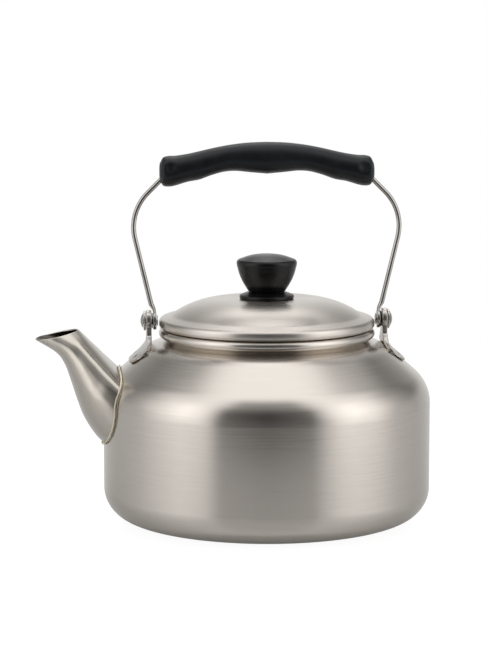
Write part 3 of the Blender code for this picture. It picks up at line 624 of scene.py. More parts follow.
# %% Knob seat and knob
KNOB_SEAT_RADIUS = 14.2 * mm
KNOB_SEAT_EDGE = 1.5 * mm
KNOB_SEAT_HEIGHT = 3.3 * mm
KNOB_WAIST_RADIUS = 9.5 * mm
KNOB_RADIUS = 15.6 * mm
KNOB_CONE_HEIGHT = 14.2 * mm
KNOB_TOP_RADIUS = 12.4 * mm
KNOB_TOP_RISE = 3.1 * mm
KNOB_CROWN_RISE = 2.0 * mm
KNOB_CROWN_POWER = 2.6
KNOB_EDGE_CORNER = (0.3 * mm, 1.9 * mm)
KNOB_EDGE_FOOT = (0.15 * mm, 1.2 * mm)
KNOB_EDGE_ROUNDING = 2.0 * mm
KNOB_CONE_END = 1.4 * mm
KNOB_SWELL = 1.0 * mm
INSERT_HOLE_RADIUS = 4.3 * mm
INSERT_LENGTH = 10.0 * mm
KNOB_STEPS = 128

SEAT_FOOT = LID_TOP + SEAT_GAP
KNOB_FOOT = SEAT_FOOT + KNOB_SEAT_HEIGHT + SEAT_GAP


def make_knob_seat():
    top = SEAT_FOOT + KNOB_SEAT_HEIGHT
    edge = SEAT_FOOT + KNOB_SEAT_EDGE
    line = rounded([
        (SCREW_HOLE_RADIUS, top),
        (KNOB_WAIST_RADIUS + 0.3 * mm, top, 0.6 * mm),
        (KNOB_SEAT_RADIUS, edge + 0.1 * mm, 0.8 * mm),
        (KNOB_SEAT_RADIUS - 0.1 * mm, SEAT_FOOT, 0.3 * mm),
        (SCREW_HOLE_RADIUS, SEAT_FOOT),
        (SCREW_HOLE_RADIUS, top)])
    return finished(turn("moulded_seat", line, KNOB_STEPS), "knob_seat")


def make_knob():
    cone_top = KNOB_FOOT + KNOB_CONE_HEIGHT
    edge_top = cone_top + KNOB_TOP_RISE
    crown = [(KNOB_TOP_RADIUS * t, edge_top + KNOB_CROWN_RISE * (1 - t ** KNOB_CROWN_POWER))
             for t in np.linspace(0, 1, 24)]
    edge = rounded([
        crown[-1],
        (KNOB_RADIUS + KNOB_EDGE_CORNER[0], cone_top + KNOB_EDGE_CORNER[1], KNOB_EDGE_ROUNDING),
        (KNOB_RADIUS - KNOB_EDGE_FOOT[0], cone_top - KNOB_EDGE_FOOT[1])])[1:]
    cone = []
    for t in np.linspace((KNOB_CONE_HEIGHT - KNOB_CONE_END) / KNOB_CONE_HEIGHT, 0.03, 16):
        cone.append((KNOB_WAIST_RADIUS + (KNOB_RADIUS - KNOB_WAIST_RADIUS) * t + KNOB_SWELL * sin(pi * t),
                     KNOB_FOOT + KNOB_CONE_HEIGHT * t))
    bore_top = KNOB_FOOT + INSERT_LENGTH + 2 * SEAT_GAP
    foot = [(KNOB_WAIST_RADIUS - 0.3 * mm, KNOB_FOOT), (INSERT_HOLE_RADIUS, KNOB_FOOT),
            (INSERT_HOLE_RADIUS, bore_top), (0, bore_top)]
    return finished(turn("moulded_knob", crown + edge + cone + foot, KNOB_STEPS), "lid_knob")


knob_seat = make_knob_seat()
knob = make_knob()

# %% Insert, washer and screw of the knob
INSERT_RADIUS = 4.0 * mm
SCREW_RADIUS = 2.0 * mm
SCREW_HEAD_RADIUS = 3.9 * mm
SCREW_HEAD_HEIGHT = 2.3 * mm
SCREW_GRIP_LENGTH = 8.5 * mm
SCREW_WASHER_RADIUS = 6.0 * mm
SCREW_WASHER_THICKNESS = 1.0 * mm
SMALL_STEPS = 64


def flat_ring(name, inner, outer, foot, thickness, edge, side=0):
    """A washer with slightly rounded edges, turned from a closed line."""
    line = rounded([
        ((inner + outer) / 2, foot + thickness),
        (outer, foot + thickness, edge),
        (outer, foot, edge),
        (inner, foot, edge),
        (inner, foot + thickness, edge),
        ((inner + outer) / 2, foot + thickness)])
    return turn(name, line, SMALL_STEPS, side)


insert_foot = KNOB_FOOT + SEAT_GAP
knob_insert = finished(flat_ring("brass_insert", SCREW_HOLE_RADIUS, INSERT_RADIUS, insert_foot, INSERT_LENGTH,
                                 0.3 * mm), "knob_insert")
washer_foot = LID_TOP - LID_SHEET - SEAT_GAP - SCREW_WASHER_THICKNESS
screw_washer = finished(flat_ring("plain_washer", SCREW_HOLE_RADIUS, SCREW_WASHER_RADIUS, washer_foot,
                                  SCREW_WASHER_THICKNESS, 0.2 * mm), "screw_washer")


def make_screw():
    head_top = washer_foot - SEAT_GAP
    thread_top = insert_foot + SCREW_GRIP_LENGTH
    line = rounded([
        (0.0, thread_top),
        (SCREW_RADIUS * 0.8, thread_top, 0.2 * mm),
        (SCREW_RADIUS, thread_top - 0.5 * mm, 0.2 * mm),
        (SCREW_RADIUS, head_top, 0.15 * mm),
        (SCREW_HEAD_RADIUS, head_top, 0.2 * mm),
        (SCREW_HEAD_RADIUS, head_top - SCREW_HEAD_HEIGHT * 0.45, 0.8 * mm),
        (SCREW_HEAD_RADIUS * 0.75, head_top - SCREW_HEAD_HEIGHT * 0.9, 1.2 * mm),
        (0.0, head_top - SCREW_HEAD_HEIGHT)])
    return finished(turn("pan_screw", line, SMALL_STEPS), "knob_screw")


knob_screw = make_screw()

# %% [markdown]
# ## The bail's pivots
#
# At each side a domed rivet holds the bail: rivet head, washer, ear, a thin washer that gives friction,
# and the flattened eye of the wire. Each is turned about the pivot's own axis, with its heights counted
# outwards from the kettle's middle, so nothing has to be rotated into place afterwards.

# %% Rivets and washers
EYE_STAND_OFF = 2.2 * mm
EYE_THICKNESS = 1.6 * mm
EYE_RADIUS = 4.7 * mm
RIVET_RADIUS = 1.9 * mm
RIVET_HEAD_RADIUS = 4.0 * mm
RIVET_HEAD_HEIGHT = 1.4 * mm
RIVET_TAIL_RADIUS = 3.0 * mm
RIVET_TAIL_HEIGHT = 0.5 * mm
FRICTION_WASHER_RADIUS = 4.0 * mm
FRICTION_WASHER_THICKNESS = 0.4 * mm
CUP_WASHER_RADIUS = 5.1 * mm
CUP_WASHER_THICKNESS = 1.0 * mm
EAR_THICKNESS = 2.6 * mm
PIVOT_HOLE_RADIUS = 2.2 * mm
EYE_EDGE_ROUNDING = 0.35 * mm
CUP_WASHER_EDGE = 0.3 * mm
FRICTION_WASHER_EDGE = 0.1 * mm

EYE_MIDDLE = LID_RADIUS + EYE_STAND_OFF
EYE_OUTSIDE = EYE_MIDDLE + EYE_THICKNESS / 2
EYE_INSIDE = EYE_MIDDLE - EYE_THICKNESS / 2
EAR_INSIDE = EYE_OUTSIDE + FRICTION_WASHER_THICKNESS + 2 * SEAT_GAP
EAR_OUTSIDE = EAR_INSIDE + EAR_THICKNESS
EAR_MIDDLE = (EAR_INSIDE + EAR_OUTSIDE) / 2
SIDES = {"left": -1, "right": 1}


def make_rivet(side_name):
    foot = EAR_OUTSIDE + CUP_WASHER_THICKNESS + 2 * SEAT_GAP
    tail = EYE_INSIDE - SEAT_GAP
    dome_radius = (RIVET_HEAD_RADIUS ** 2 + RIVET_HEAD_HEIGHT ** 2) / (2 * RIVET_HEAD_HEIGHT)
    dome = [(dome_radius * sin(a), foot + RIVET_HEAD_HEIGHT - dome_radius * (1 - cos(a)))
            for a in np.linspace(0, asin(RIVET_HEAD_RADIUS / dome_radius), 16)]
    line = dome + [
        (RIVET_HEAD_RADIUS - 0.15 * mm, foot),
        (RIVET_RADIUS, foot),
        (RIVET_RADIUS, tail),
        (RIVET_TAIL_RADIUS, tail),
        (RIVET_TAIL_RADIUS * 0.97, tail - RIVET_TAIL_HEIGHT * 0.5),
        (RIVET_TAIL_RADIUS * 0.8, tail - RIVET_TAIL_HEIGHT),
        (0.0, tail - RIVET_TAIL_HEIGHT)]
    rivet = turn(f"domed_rivet_{side_name}", line, SMALL_STEPS, SIDES[side_name])
    return finished(rivet, f"bail_rivet_{side_name}")


def make_washers(name, node, *sizes):
    """A washer at each side. The sizes are its radius, foot, thickness and edge's rounding."""
    return {side_name: finished(flat_ring(f"{name}_{side_name}", PIVOT_HOLE_RADIUS, *sizes, side),
                                f"{node}_{side_name}") for side_name, side in SIDES.items()}


rivets = {name: make_rivet(name) for name in SIDES}
cup_washers = make_washers("head_washer", "cup_washer", CUP_WASHER_RADIUS, EAR_OUTSIDE + SEAT_GAP,
                           CUP_WASHER_THICKNESS, CUP_WASHER_EDGE)
friction_washers = make_washers("thin_washer", "friction_washer", FRICTION_WASHER_RADIUS,
                                EYE_OUTSIDE + SEAT_GAP, FRICTION_WASHER_THICKNESS, FRICTION_WASHER_EDGE)

# %% [markdown]
# ## The ears
#
# Each ear is a pressed plate: a round head that carries the rivet, a neck, and a wide foot that is folded
# over the shoulder and spot-welded to it. The plate is first drawn flat, as rings that shrink from its
# outline to the rivet's hole and the plate's middle line, and each ring is then folded. The plate thins
# towards the foot, and proportional editing presses the two weld marks into it. Solidify's even offset
# throws long spikes where faces are very narrow, so the outline's roundings are best left as they are.

# %% Ears
EAR_HEAD_RADIUS = 5.6 * mm
EAR_NECK_HALF_WIDTH = 5.0 * mm
EAR_NECK_END = 5.0 * mm
EAR_FOOT_HALF_WIDTH = 15.0 * mm
EAR_FOOT_START = 2.5 * mm
EAR_FOOT_INSET = 14.0 * mm
EAR_FOOT_CORNER = 8.0 * mm
EAR_NECK_ROUNDING = 2.0 * mm
EAR_FOOT_ROUNDING = 3.0 * mm
EAR_FOLD_RADIUS = 4.2 * mm
EAR_EDGE_ROUNDING = 0.35 * mm
EAR_RINGS = 26
EAR_POINTS = 200
EAR_FOOT_THICKNESS = 0.9 * mm
EAR_THINNING = 4.0 * mm
EAR_LIFT = (SEAT_GAP + EAR_FOOT_THICKNESS / 2) / cos(SHOULDER_SLOPE)
EAR_HOLE_REACH = 1.8
EAR_MIDDLE_LINE_END = 0.45
WELD_ACROSS = 7.5 * mm
WELD_INSET = 3.0 * mm
WELD_RADIUS = 2.2 * mm
WELD_DEPTH = 0.5 * mm


def ear_fold(across):
    """The middle of the ear's sheet at a distance across it, from the pivot down, as (x, z) points."""

    def foot_height(x):
        return shoulder_height(hypot(x, across)) + EAR_LIFT

    reach = EAR_FOLD_RADIUS * tan((pi / 2 - SHOULDER_SLOPE) / 2) * cos(SHOULDER_SLOPE)
    ends = np.linspace(EAR_MIDDLE + 2 * reach, BODY_RADIUS - EAR_FOOT_INSET + 2 * reach, 16)
    first = (ends[0], foot_height(ends[0]))
    slope = (first[1] - foot_height(ends[1])) / (ends[1] - ends[0])
    corner = (EAR_MIDDLE, first[1] + slope * (first[0] - EAR_MIDDLE), EAR_FOLD_RADIUS)
    bend = rounded([(EAR_MIDDLE, PIVOT_HEIGHT), corner, first])
    path = np.array(bend + [(x, foot_height(x)) for x in ends[1:]])
    return run_along(path), path


def ear_outline():
    """The flat ear's outline as (across, down) points at even steps, once round from the head's top."""
    start = asin(EAR_NECK_HALF_WIDTH / EAR_HEAD_RADIUS)
    head = [(EAR_HEAD_RADIUS * sin(a), -EAR_HEAD_RADIUS * cos(a)) for a in np.linspace(0, pi - start, 40)]
    fold = PIVOT_HEIGHT - EAR_LIFT - shoulder_height(EAR_MIDDLE)
    end = fold + (BODY_RADIUS - EAR_FOOT_INSET - EAR_MIDDLE) / cos(SHOULDER_SLOPE)
    half = head + rounded([
        (EAR_NECK_HALF_WIDTH, fold / 2),
        (EAR_NECK_HALF_WIDTH, fold - EAR_NECK_END, EAR_NECK_ROUNDING),
        (EAR_FOOT_HALF_WIDTH, fold + EAR_FOOT_START, EAR_FOOT_ROUNDING),
        (EAR_FOOT_HALF_WIDTH, end, EAR_FOOT_CORNER),
        (0.0, end)])
    outline = np.array(half + [(-u, v) for u, v in half[-2::-1]])
    run = run_along(outline)
    places = np.linspace(0, run[-1], EAR_POINTS, endpoint=False)
    return np.column_stack([np.interp(places, run, outline[:, k]) for k in (0, 1)]), end


def ear_middle(outline, end):
    """For each outline point, the point of the hole's edge or of the middle line that it is joined to."""
    hole_end = np.flatnonzero(outline[:, 1] > PIVOT_HOLE_RADIUS * EAR_HOLE_REACH)
    first, last = hole_end[0], hole_end[-1]
    foot = end - EAR_FOOT_HALF_WIDTH * EAR_MIDDLE_LINE_END
    middle = []
    for i, (across, down) in enumerate(outline):
        if i < first or i > last:
            share = i / first if i < first else 2 - (len(outline) - i) / (len(outline) - last)
            middle.append((PIVOT_HOLE_RADIUS * sin(pi * share), -PIVOT_HOLE_RADIUS * cos(pi * share)))
        else:
            share = (down - outline[first, 1]) / (end - outline[first, 1])
            middle.append((0, PIVOT_HOLE_RADIUS + (foot - PIVOT_HOLE_RADIUS) * share))
    return np.array(middle)


def make_ear(side_name):
    side = SIDES[side_name]
    outline, end = ear_outline()
    middle = ear_middle(outline, end)
    shares = np.append(0, np.linspace(0.1, 1, EAR_RINGS - 1))
    folds = {}
    rings = []
    for share in shares:
        ring = []
        for across, down in outline + (middle - outline) * share:
            key = round(abs(across) / mm, 1)
            if key not in folds:
                folds[key] = ear_fold(key * mm)
            run, path = folds[key]
            if down <= 0:
                x, z = EAR_MIDDLE, PIVOT_HEIGHT - down
            else:
                x, z = np.interp(down, run, path[:, 0]), np.interp(down, run, path[:, 1])
            ring.append((side * x, side * across, z))
        rings.append(ring)
    ear = rolled(f"pressed_ear_{side_name}", rings)
    thick = ear.vertex_groups.new(name="thick")
    for vertex in ear.data.vertices:
        run = (side * vertex.co.x - EAR_MIDDLE) / EAR_THINNING
        thick.add([vertex.index], min(max(1 - run, 0), 1), "REPLACE")
    apply(ear, "SOLIDIFY", thickness=EAR_THICKNESS, offset=0, use_even_offset=True, vertex_group="thick",
          thickness_vertex_group=EAR_FOOT_THICKNESS / EAR_THICKNESS)
    round_rim(ear, EAR_EDGE_ROUNDING)
    close_and_face_out(ear)
    press_welds(ear, side)
    return finished(ear, f"bail_ear_{side_name}", 40)


def press(piece, spot, move, size):
    """Presses a smooth dimple into the surface nearest to a spot, by proportional editing."""
    edit(piece)
    bpy.ops.mesh.select_all(action="DESELECT")
    shape = bmesh.from_edit_mesh(piece.data)
    nearest = min(shape.verts, key=lambda vertex: (vertex.co - spot).length)
    nearest.select = True
    shape.select_flush_mode()
    bmesh.update_edit_mesh(piece.data)
    bpy.ops.transform.translate(value=tuple(move), use_proportional_edit=True, proportional_size=size,
                                proportional_edit_falloff="SMOOTH", use_proportional_connected=True)
    leave()


def press_welds(ear, side):
    """Two round spot-weld marks in the outer face of the foot."""
    normal = Vector((side * sin(SHOULDER_SLOPE), 0, cos(SHOULDER_SLOPE)))
    radius = BODY_RADIUS - EAR_FOOT_INSET - WELD_INSET
    for across in (-WELD_ACROSS, WELD_ACROSS):
        x = (radius ** 2 - across ** 2) ** 0.5
        spot = Vector((side * x, across, shoulder_height(radius))) + normal * (EAR_FOOT_THICKNESS + SEAT_GAP)
        press(ear, spot, -normal * WELD_DEPTH, WELD_RADIUS)


ears = {name: make_ear(name) for name in SIDES}

# %% [markdown]
# ## The bail wire
#
# One round wire runs from eye to eye through the grip. Its path is a line of corners with wide
# roundings. The last few millimetres are hammered flat, and the flattened wire runs into a round eye,
# which is joined to it by a Boolean union.

# %% Bail wire
WIRE_RADIUS = 1.3 * mm
WIRE_KNEE = (0.1 * mm, 4.9 * mm)
WIRE_LEG_FOOT = (1.8 * mm, 8.4 * mm)
WIRE_CORNER = (13.2 * mm, 27.8 * mm)
WIRE_GRIP_ENTRY = (7.6 * mm, 4.8 * mm)
WIRE_KNEE_ROUNDING = 4.0 * mm
WIRE_CORNER_ROUNDING = 25.0 * mm
WIRE_ENTRY_ROUNDING = 8.0 * mm
WIRE_FORGED_END = 8.0 * mm
WIRE_FORGED_WIDTH = 1.7
WIRE_FORGED_THINNING = 0.9
WIRE_STEP = 1.0 * mm
WIRE_SIDES = 16
GRIP_HALF_LENGTH = 56.0 * mm
GRIP_RISE = 84.1 * mm


def wire_half():
    """Middle of the bail wire from the right-hand eye to the middle of the grip, as (x, rise) points."""
    inset, arch_drop = WIRE_GRIP_ENTRY
    entry = GRIP_HALF_LENGTH - inset

    def arch(x):
        return x, GRIP_RISE - arch_drop * (x / entry) ** 2

    along = np.linspace(entry, 0, 24)
    leg = rounded([
        (EYE_MIDDLE, EYE_RADIUS * 0.8),
        (EYE_MIDDLE + WIRE_KNEE[0], WIRE_KNEE[1], WIRE_KNEE_ROUNDING),
        (EYE_MIDDLE + WIRE_LEG_FOOT[0], WIRE_LEG_FOOT[1], WIRE_KNEE_ROUNDING),
        (EYE_MIDDLE + WIRE_CORNER[0], GRIP_RISE - WIRE_CORNER[1], WIRE_CORNER_ROUNDING),
        (*arch(entry), WIRE_ENTRY_ROUNDING),
        arch(along[4])])
    return leg + [arch(x) for x in along[5:]]


def wire_path():
    half = [(x, PIVOT_HEIGHT + rise) for x, rise in wire_half()]
    whole = np.array(half + [(-x, z) for x, z in half[-2::-1]])
    run = run_along(whole)
    places = np.linspace(0, run[-1], int(run[-1] / WIRE_STEP))
    return [(np.interp(p, run, whole[:, 0]), 0, np.interp(p, run, whole[:, 1])) for p in places]


def make_bail_wire():
    wire = tube("bent_wire", wire_path(), WIRE_RADIUS, WIRE_SIDES)
    flat = EYE_THICKNESS * WIRE_FORGED_THINNING / (2 * WIRE_RADIUS)
    for vertex in wire.data.vertices:
        rise = vertex.co.z - PIVOT_HEIGHT
        share = min(max((WIRE_FORGED_END - rise) / (WIRE_FORGED_END - EYE_RADIUS), 0), 1)
        if share:
            middle = EYE_MIDDLE if vertex.co.x > 0 else -EYE_MIDDLE
            vertex.co.x = middle + (vertex.co.x - middle) * (1 - share * (1 - flat))
            vertex.co.y *= 1 + share * (WIRE_FORGED_WIDTH - 1)
    for name, side in SIDES.items():
        eye = flat_ring(f"eye_{name}", PIVOT_HOLE_RADIUS, EYE_RADIUS, EYE_INSIDE, EYE_THICKNESS,
                        EYE_EDGE_ROUNDING, side)
        smooth(eye)
        combine(wire, eye, "UNION")
    return finished(wire, "bail_wire", 40)


bail_wire = make_bail_wire()

# %% [markdown]
# ## The grip
#
# The grip is moulded round the wire: an arched back, hollows for the fingers underneath, and fuller
# rounded ends. It is rolled from measured oval sections, closed at each end by rings that shrink to a
# point, and the wire's way through it is bored out. A shallow dimple is pressed in near each end.

# %% Grip
# Each station: distance from the middle, top, underside, half depth, with heights from the wire's middle
GRIP_STATIONS = (
    (0.0, 8.2, -8.2, 8.8), (9.0, 7.9, -7.4, 8.5), (16.0, 7.2, -6.7, 8.1), (22.0, 6.3, -7.1, 7.9),
    (28.5, 5.0, -8.8, 8.0), (35.0, 3.5, -11.1, 8.2), (41.0, 2.2, -12.2, 8.2), (47.0, 1.3, -14.0, 8.5),
    (50.4, 1.2, -14.6, 8.6), (53.4, 0.4, -14.2, 8.0), (55.0, -2.2, -12.0, 5.6),
)
GRIP_RINGS = 96
GRIP_SIDES = 72
GRIP_CAP = 0.5 * mm
GRIP_PIT = (50.0 * mm, 8.6 * mm, -4.8 * mm)
GRIP_PIT_RADIUS = 4.2 * mm
GRIP_PIT_DEPTH = 1.0 * mm


def make_grip():
    half = through(np.array(GRIP_STATIONS) * mm, GRIP_RINGS)
    x, top, under, depth = half[-1]
    caps = []
    for a in np.linspace(0, pi / 2, 7)[1:]:
        middle, height = (top + under) / 2, (top - under) / 2 * cos(a)
        caps.append((x + GRIP_CAP * sin(a), middle + height, middle - height, depth * cos(a)))
    whole = np.vstack([half, caps])
    stations = list(whole[::-1]) + [(-x, top, under, depth) for x, top, under, depth in whole[1:]]
    rings = []
    for x, top, under, depth in stations:
        middle = PIVOT_HEIGHT + GRIP_RISE + (top + under) / 2
        height = (top - under) / 2
        rings.append([(x, depth * sin(a), middle + height * cos(a))
                      for a in np.linspace(pi, 3 * pi, GRIP_SIDES, endpoint=False)])
    grip = rolled("moulded_grip", rings)
    combine(grip, tube("grip_bore", wire_path(), WIRE_RADIUS + SEAT_GAP, WIRE_SIDES))
    for end in (-1, 1):
        for face in (-1, 1):
            spot = Vector((end * GRIP_PIT[0], face * GRIP_PIT[1], PIVOT_HEIGHT + GRIP_RISE + GRIP_PIT[2]))
            press(grip, spot, (0, -face * GRIP_PIT_DEPTH, 0), GRIP_PIT_RADIUS)
    return finished(grip, "bail_grip", 50)


grip = make_grip()

# %% [markdown]
# ## What moves with what
#
# The body, spout, ears and rivets stay put, the wire and its grip swing with the bail, and everything on
# the lid lifts with it. Each fine piece rides on its body and stands for its coarse solid.

# %% Ride
KETTLE_PIECES = [(body, "kettle_body", "brushed_steel"), (spout, "spout", "brushed_steel"),
                 (braze, "spout_braze", "braze_metal")]
for name in SIDES:
    KETTLE_PIECES += [(ears[name], f"bail_ear_{name}", "brushed_steel"),
                      (rivets[name], f"bail_rivet_{name}", "polished_steel"),
                      (cup_washers[name], f"cup_washer_{name}", "brushed_steel"),
                      (friction_washers[name], f"friction_washer_{name}", "black_nylon")]
BAIL_PIECES = [(bail_wire, "bail_wire", "polished_steel"), (grip, "bail_grip", "black_resin")]
LID_PIECES = [(lid, "lid_dome", "brushed_steel"), (lid_ring, "lid_ring", "brushed_steel"),
              (knob_seat, "knob_seat", "black_resin"), (knob, "lid_knob", "black_resin"),
              (knob_insert, "knob_insert", "brass"), (knob_screw, "knob_screw", "polished_steel"),
              (screw_washer, "screw_washer", "polished_steel")]
for body_name, pieces in (("kettle", KETTLE_PIECES), ("bail", BAIL_PIECES), ("lid", LID_PIECES)):
    for piece, node, slot_name in pieces:
        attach(piece, body_name)
        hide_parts(node)

# %% [markdown]
# ## Finishes
#
# A finish is more than a colour. Brushed steel shows long fine scratches that run the way the belt ran,
# so its pattern is stretched hard in that direction, and the same pattern drives its colour, its
# roughness and its bump a little. The helpers below only add nodes and join them. Blender's noise keeps
# to about 0.3 to 0.7, which is the range that is spread over two tints or two roughnesses.

# %% Helpers for finishes
NOISE_RANGE = (0.3, 0.7)


def new_finish(name, colour, roughness, metallic=0.0, **constants):
    """A material whose plain values sit on the shader's own sockets."""
    finish = bpy.data.materials.new(name)
    finish.use_nodes = True
    shader = finish.node_tree.nodes["Principled BSDF"]
    shader.inputs["Base Color"].default_value = (*colour, 1)
    shader.inputs["Roughness"].default_value = roughness
    shader.inputs["Metallic"].default_value = metallic
    for socket, value in constants.items():
        shader.inputs[socket.replace("_", " ")].default_value = value
    return finish, finish.node_tree, shader


def add(tree, kind, inputs=None, **settings):
    """Adds a node. An input is a plain value, or another node's output that is joined to it."""
    node = tree.nodes.new("ShaderNode" + kind)
    for name, value in settings.items():
        setattr(node, name, value)
    for socket, value in (inputs or {}).items():
        if isinstance(value, bpy.types.NodeSocket):
            tree.links.new(value, node.inputs[socket])
        else:
            node.inputs[socket].default_value = value
    return node


def give(tree, kind, inputs=None, **settings):
    """Adds a node and gives its first output."""
    return add(tree, kind, inputs, **settings).outputs[0]


def reckon(tree, operation, first, second):
    return give(tree, "Math", {0: first, 1: second}, operation=operation)


def noise(tree, vector, scale=1.0, detail=3.0):
    return give(tree, "TexNoise", {"Vector": vector, "Scale": scale, "Detail": detail, "Roughness": 0.55})


def tint(tree, shader, pattern, dark, light):
    """Colours a shader between two close tints by a pattern."""
    ramp = add(tree, "ValToRGB", {"Fac": pattern})
    for element, place, colour in zip(ramp.color_ramp.elements, NOISE_RANGE, (dark, light)):
        element.position, element.color = place, (*colour, 1)
    tree.links.new(ramp.outputs[0], shader.inputs["Base Color"])


def rough_up(tree, shader, pattern, low, high):
    level = give(tree, "MapRange", {"Value": pattern, "From Min": NOISE_RANGE[0], "From Max": NOISE_RANGE[1],
                                    "To Min": low, "To Max": high})
    tree.links.new(level, shader.inputs["Roughness"])


def emboss(tree, shader, pattern, strength, depth):
    bump = give(tree, "Bump", {"Height": pattern, "Strength": strength, "Distance": depth})
    tree.links.new(bump, shader.inputs["Normal"])


def around_axis(tree, around, along):
    """Coordinates that change slowly round the kettle's axis and fast along its outline."""
    place = add(tree, "TexCoord").outputs["Object"]
    split = add(tree, "SeparateXYZ", {0: place})
    flat = give(tree, "CombineXYZ", {"X": split.outputs["X"], "Y": split.outputs["Y"]})
    radius = add(tree, "VectorMath", {0: flat}, operation="LENGTH").outputs["Value"]
    fast = reckon(tree, "MULTIPLY", reckon(tree, "SUBTRACT", split.outputs["Z"], radius), along)
    unit = give(tree, "VectorMath", {0: flat}, operation="NORMALIZE")
    slow = give(tree, "VectorMath", {0: unit, "Scale": around}, operation="SCALE")
    rise = give(tree, "CombineXYZ", {"Z": fast})
    return give(tree, "VectorMath", {0: slow, 1: rise}, operation="ADD")


# %% [markdown]
# ## Steel that is brushed round the axis
#
# The body and the lid were polished while they turned, so the scratches run in circles. Such steel
# blurs a reflection mostly across the scratches, which is what the shader's anisotropy does: it stays
# crisp from left to right and is smeared up and down. Two patterns are mixed, each with how fast it
# changes round the axis and how fast along the outline.

# %% Turned and brushed steel
FINE_SCRATCHES = (3.0, 3600.0)
BROAD_SCRATCHES = (2.2, 1300.0)
SCRATCH_DEPTH = 0.02 * mm
TURNED_UNEVENNESS = 0.03
TURNED_RELIEF = 0.06
TURNED_DARK = (0.60, 0.56, 0.512)
TURNED_LIGHT = (0.66, 0.615, 0.565)


def round_brushed(name, roughness, anisotropy):
    finish, tree, shader = new_finish(name, TURNED_LIGHT, roughness, 1.0, Anisotropic=anisotropy,
                                      Anisotropic_Rotation=0.25)
    tangent = give(tree, "Tangent", direction_type="RADIAL", axis="Z")
    tree.links.new(tangent, shader.inputs["Tangent"])
    fine = noise(tree, around_axis(tree, *FINE_SCRATCHES))
    broad = noise(tree, around_axis(tree, *BROAD_SCRATCHES), detail=4.0)
    both = reckon(tree, "MULTIPLY", reckon(tree, "ADD", fine, broad), 0.5)
    tint(tree, shader, both, TURNED_DARK, TURNED_LIGHT)
    rough_up(tree, shader, broad, roughness - TURNED_UNEVENNESS, roughness + TURNED_UNEVENNESS)
    emboss(tree, shader, fine, TURNED_RELIEF, SCRATCH_DEPTH)
    return finish


body_steel = round_brushed("turned_brushed_steel", roughness=0.22, anisotropy=0.60)
lid_steel = round_brushed("lid_brushed_steel", roughness=0.30, anisotropy=0.65)
print("round brushed steels:", body_steel.name, lid_steel.name)

# %% [markdown]
# ## Steel that is brushed in one direction
#
# The spout was brushed along its length and the ears from head to foot. A Mapping node turns the pattern
# to that direction and stretches it. The spout's inside has the same pattern, hardly stretched and
# rougher, in dark tints that paint the shade inside the spout.

# %% Straight brushed steel
SPOUT_TILT = radians(31)
BROAD_STRETCH = (260, 260, 22)
STRAIGHT_UNEVENNESS = 0.02
STRAIGHT_RELIEF = 0.03


def straight_brushed(name, dark, light, roughness, tilt=0.0, fast=2600.0, slow=45.0):
    finish, tree, shader = new_finish(name, light, roughness, 1.0)
    place = add(tree, "TexCoord").outputs["Object"]
    turned = give(tree, "Mapping", {"Vector": place, "Rotation": (0, tilt, 0)})
    fine = noise(tree, give(tree, "Mapping", {"Vector": turned, "Scale": (fast, fast, slow)}))
    broad = noise(tree, give(tree, "Mapping", {"Vector": turned, "Scale": BROAD_STRETCH}), detail=4.0)
    tint(tree, shader, broad, dark, light)
    rough_up(tree, shader, fine, roughness - STRAIGHT_UNEVENNESS, roughness + STRAIGHT_UNEVENNESS)
    emboss(tree, shader, fine, STRAIGHT_RELIEF, SCRATCH_DEPTH)
    return finish


spout_steel = straight_brushed("spout_brushed_steel", (0.51, 0.47, 0.42), (0.59, 0.55, 0.49),
                               roughness=0.22, tilt=SPOUT_TILT)
ear_steel = straight_brushed("ear_brushed_steel", (0.52, 0.49, 0.45), (0.64, 0.61, 0.57), roughness=0.24)
# Painted shade: the spout's inside gets dark tints that stand for the shade within the spout
shaded_inside_steel = straight_brushed("dull_drawn_steel", (0.15, 0.135, 0.12), (0.24, 0.22, 0.195),
                              roughness=0.50, fast=900.0, slow=200.0)

# %% [markdown]
# ## Braze, resin, brass and nylon
#
# The braze is a pale gold filler with heat colour that comes and goes along it. The knob and grip are
# black moulded resin with the fine even grain of the mould. The wire and the rivets are polished steel,
# whose small uneven spots have no direction. Brass and nylon are hidden inside, but they are finished
# too, because the lid lifts off and the bail swings. A grain is its scale, strength and depth.

# %% Small finishes
PATCH_SIZE = 14


def grained(name, dark, light, roughness, grain, metallic=0.0, **constants):
    finish, tree, shader = new_finish(name, light, roughness[1], metallic, **constants)
    place = add(tree, "TexCoord").outputs["Object"]
    scale, strength, depth = grain
    spots = noise(tree, place, scale, 4.0)
    patches = noise(tree, place, scale / PATCH_SIZE)
    tint(tree, shader, patches, dark, light)
    rough_up(tree, shader, patches, *roughness)
    emboss(tree, shader, spots, strength, depth)
    return finish


braze_metal = grained("pale_gold_braze", (0.74, 0.66, 0.49), (0.92, 0.87, 0.75), (0.42, 0.58),
                      (1500, 0.35, 0.08 * mm), metallic=0.7)
grip_resin = grained("satin_black_resin", (0.007, 0.0082, 0.0100), (0.0105, 0.0122, 0.0150), (0.32, 0.40),
                     (2600, 0.22, 0.03 * mm), Specular_IOR_Level=0.28)
knob_resin = grained("knob_black_resin", (0.003, 0.003, 0.0032), (0.005, 0.005, 0.0053), (0.24, 0.32),
                     (2600, 0.15, 0.02 * mm), Specular_IOR_Level=0.32)
polished_steel = grained("polished_steel", (0.46, 0.44, 0.415), (0.52, 0.50, 0.47), (0.13, 0.19),
                         (2600, 0.05, 0.01 * mm), metallic=1.0)
brass = grained("turned_brass", (0.66, 0.47, 0.20), (0.76, 0.58, 0.30), (0.24, 0.36),
                (1800, 0.20, 0.03 * mm), metallic=1.0)
black_nylon = grained("black_nylon_sheet", (0.022, 0.022, 0.022), (0.034, 0.034, 0.034), (0.50, 0.60),
                      (3000, 0.20, 0.02 * mm))


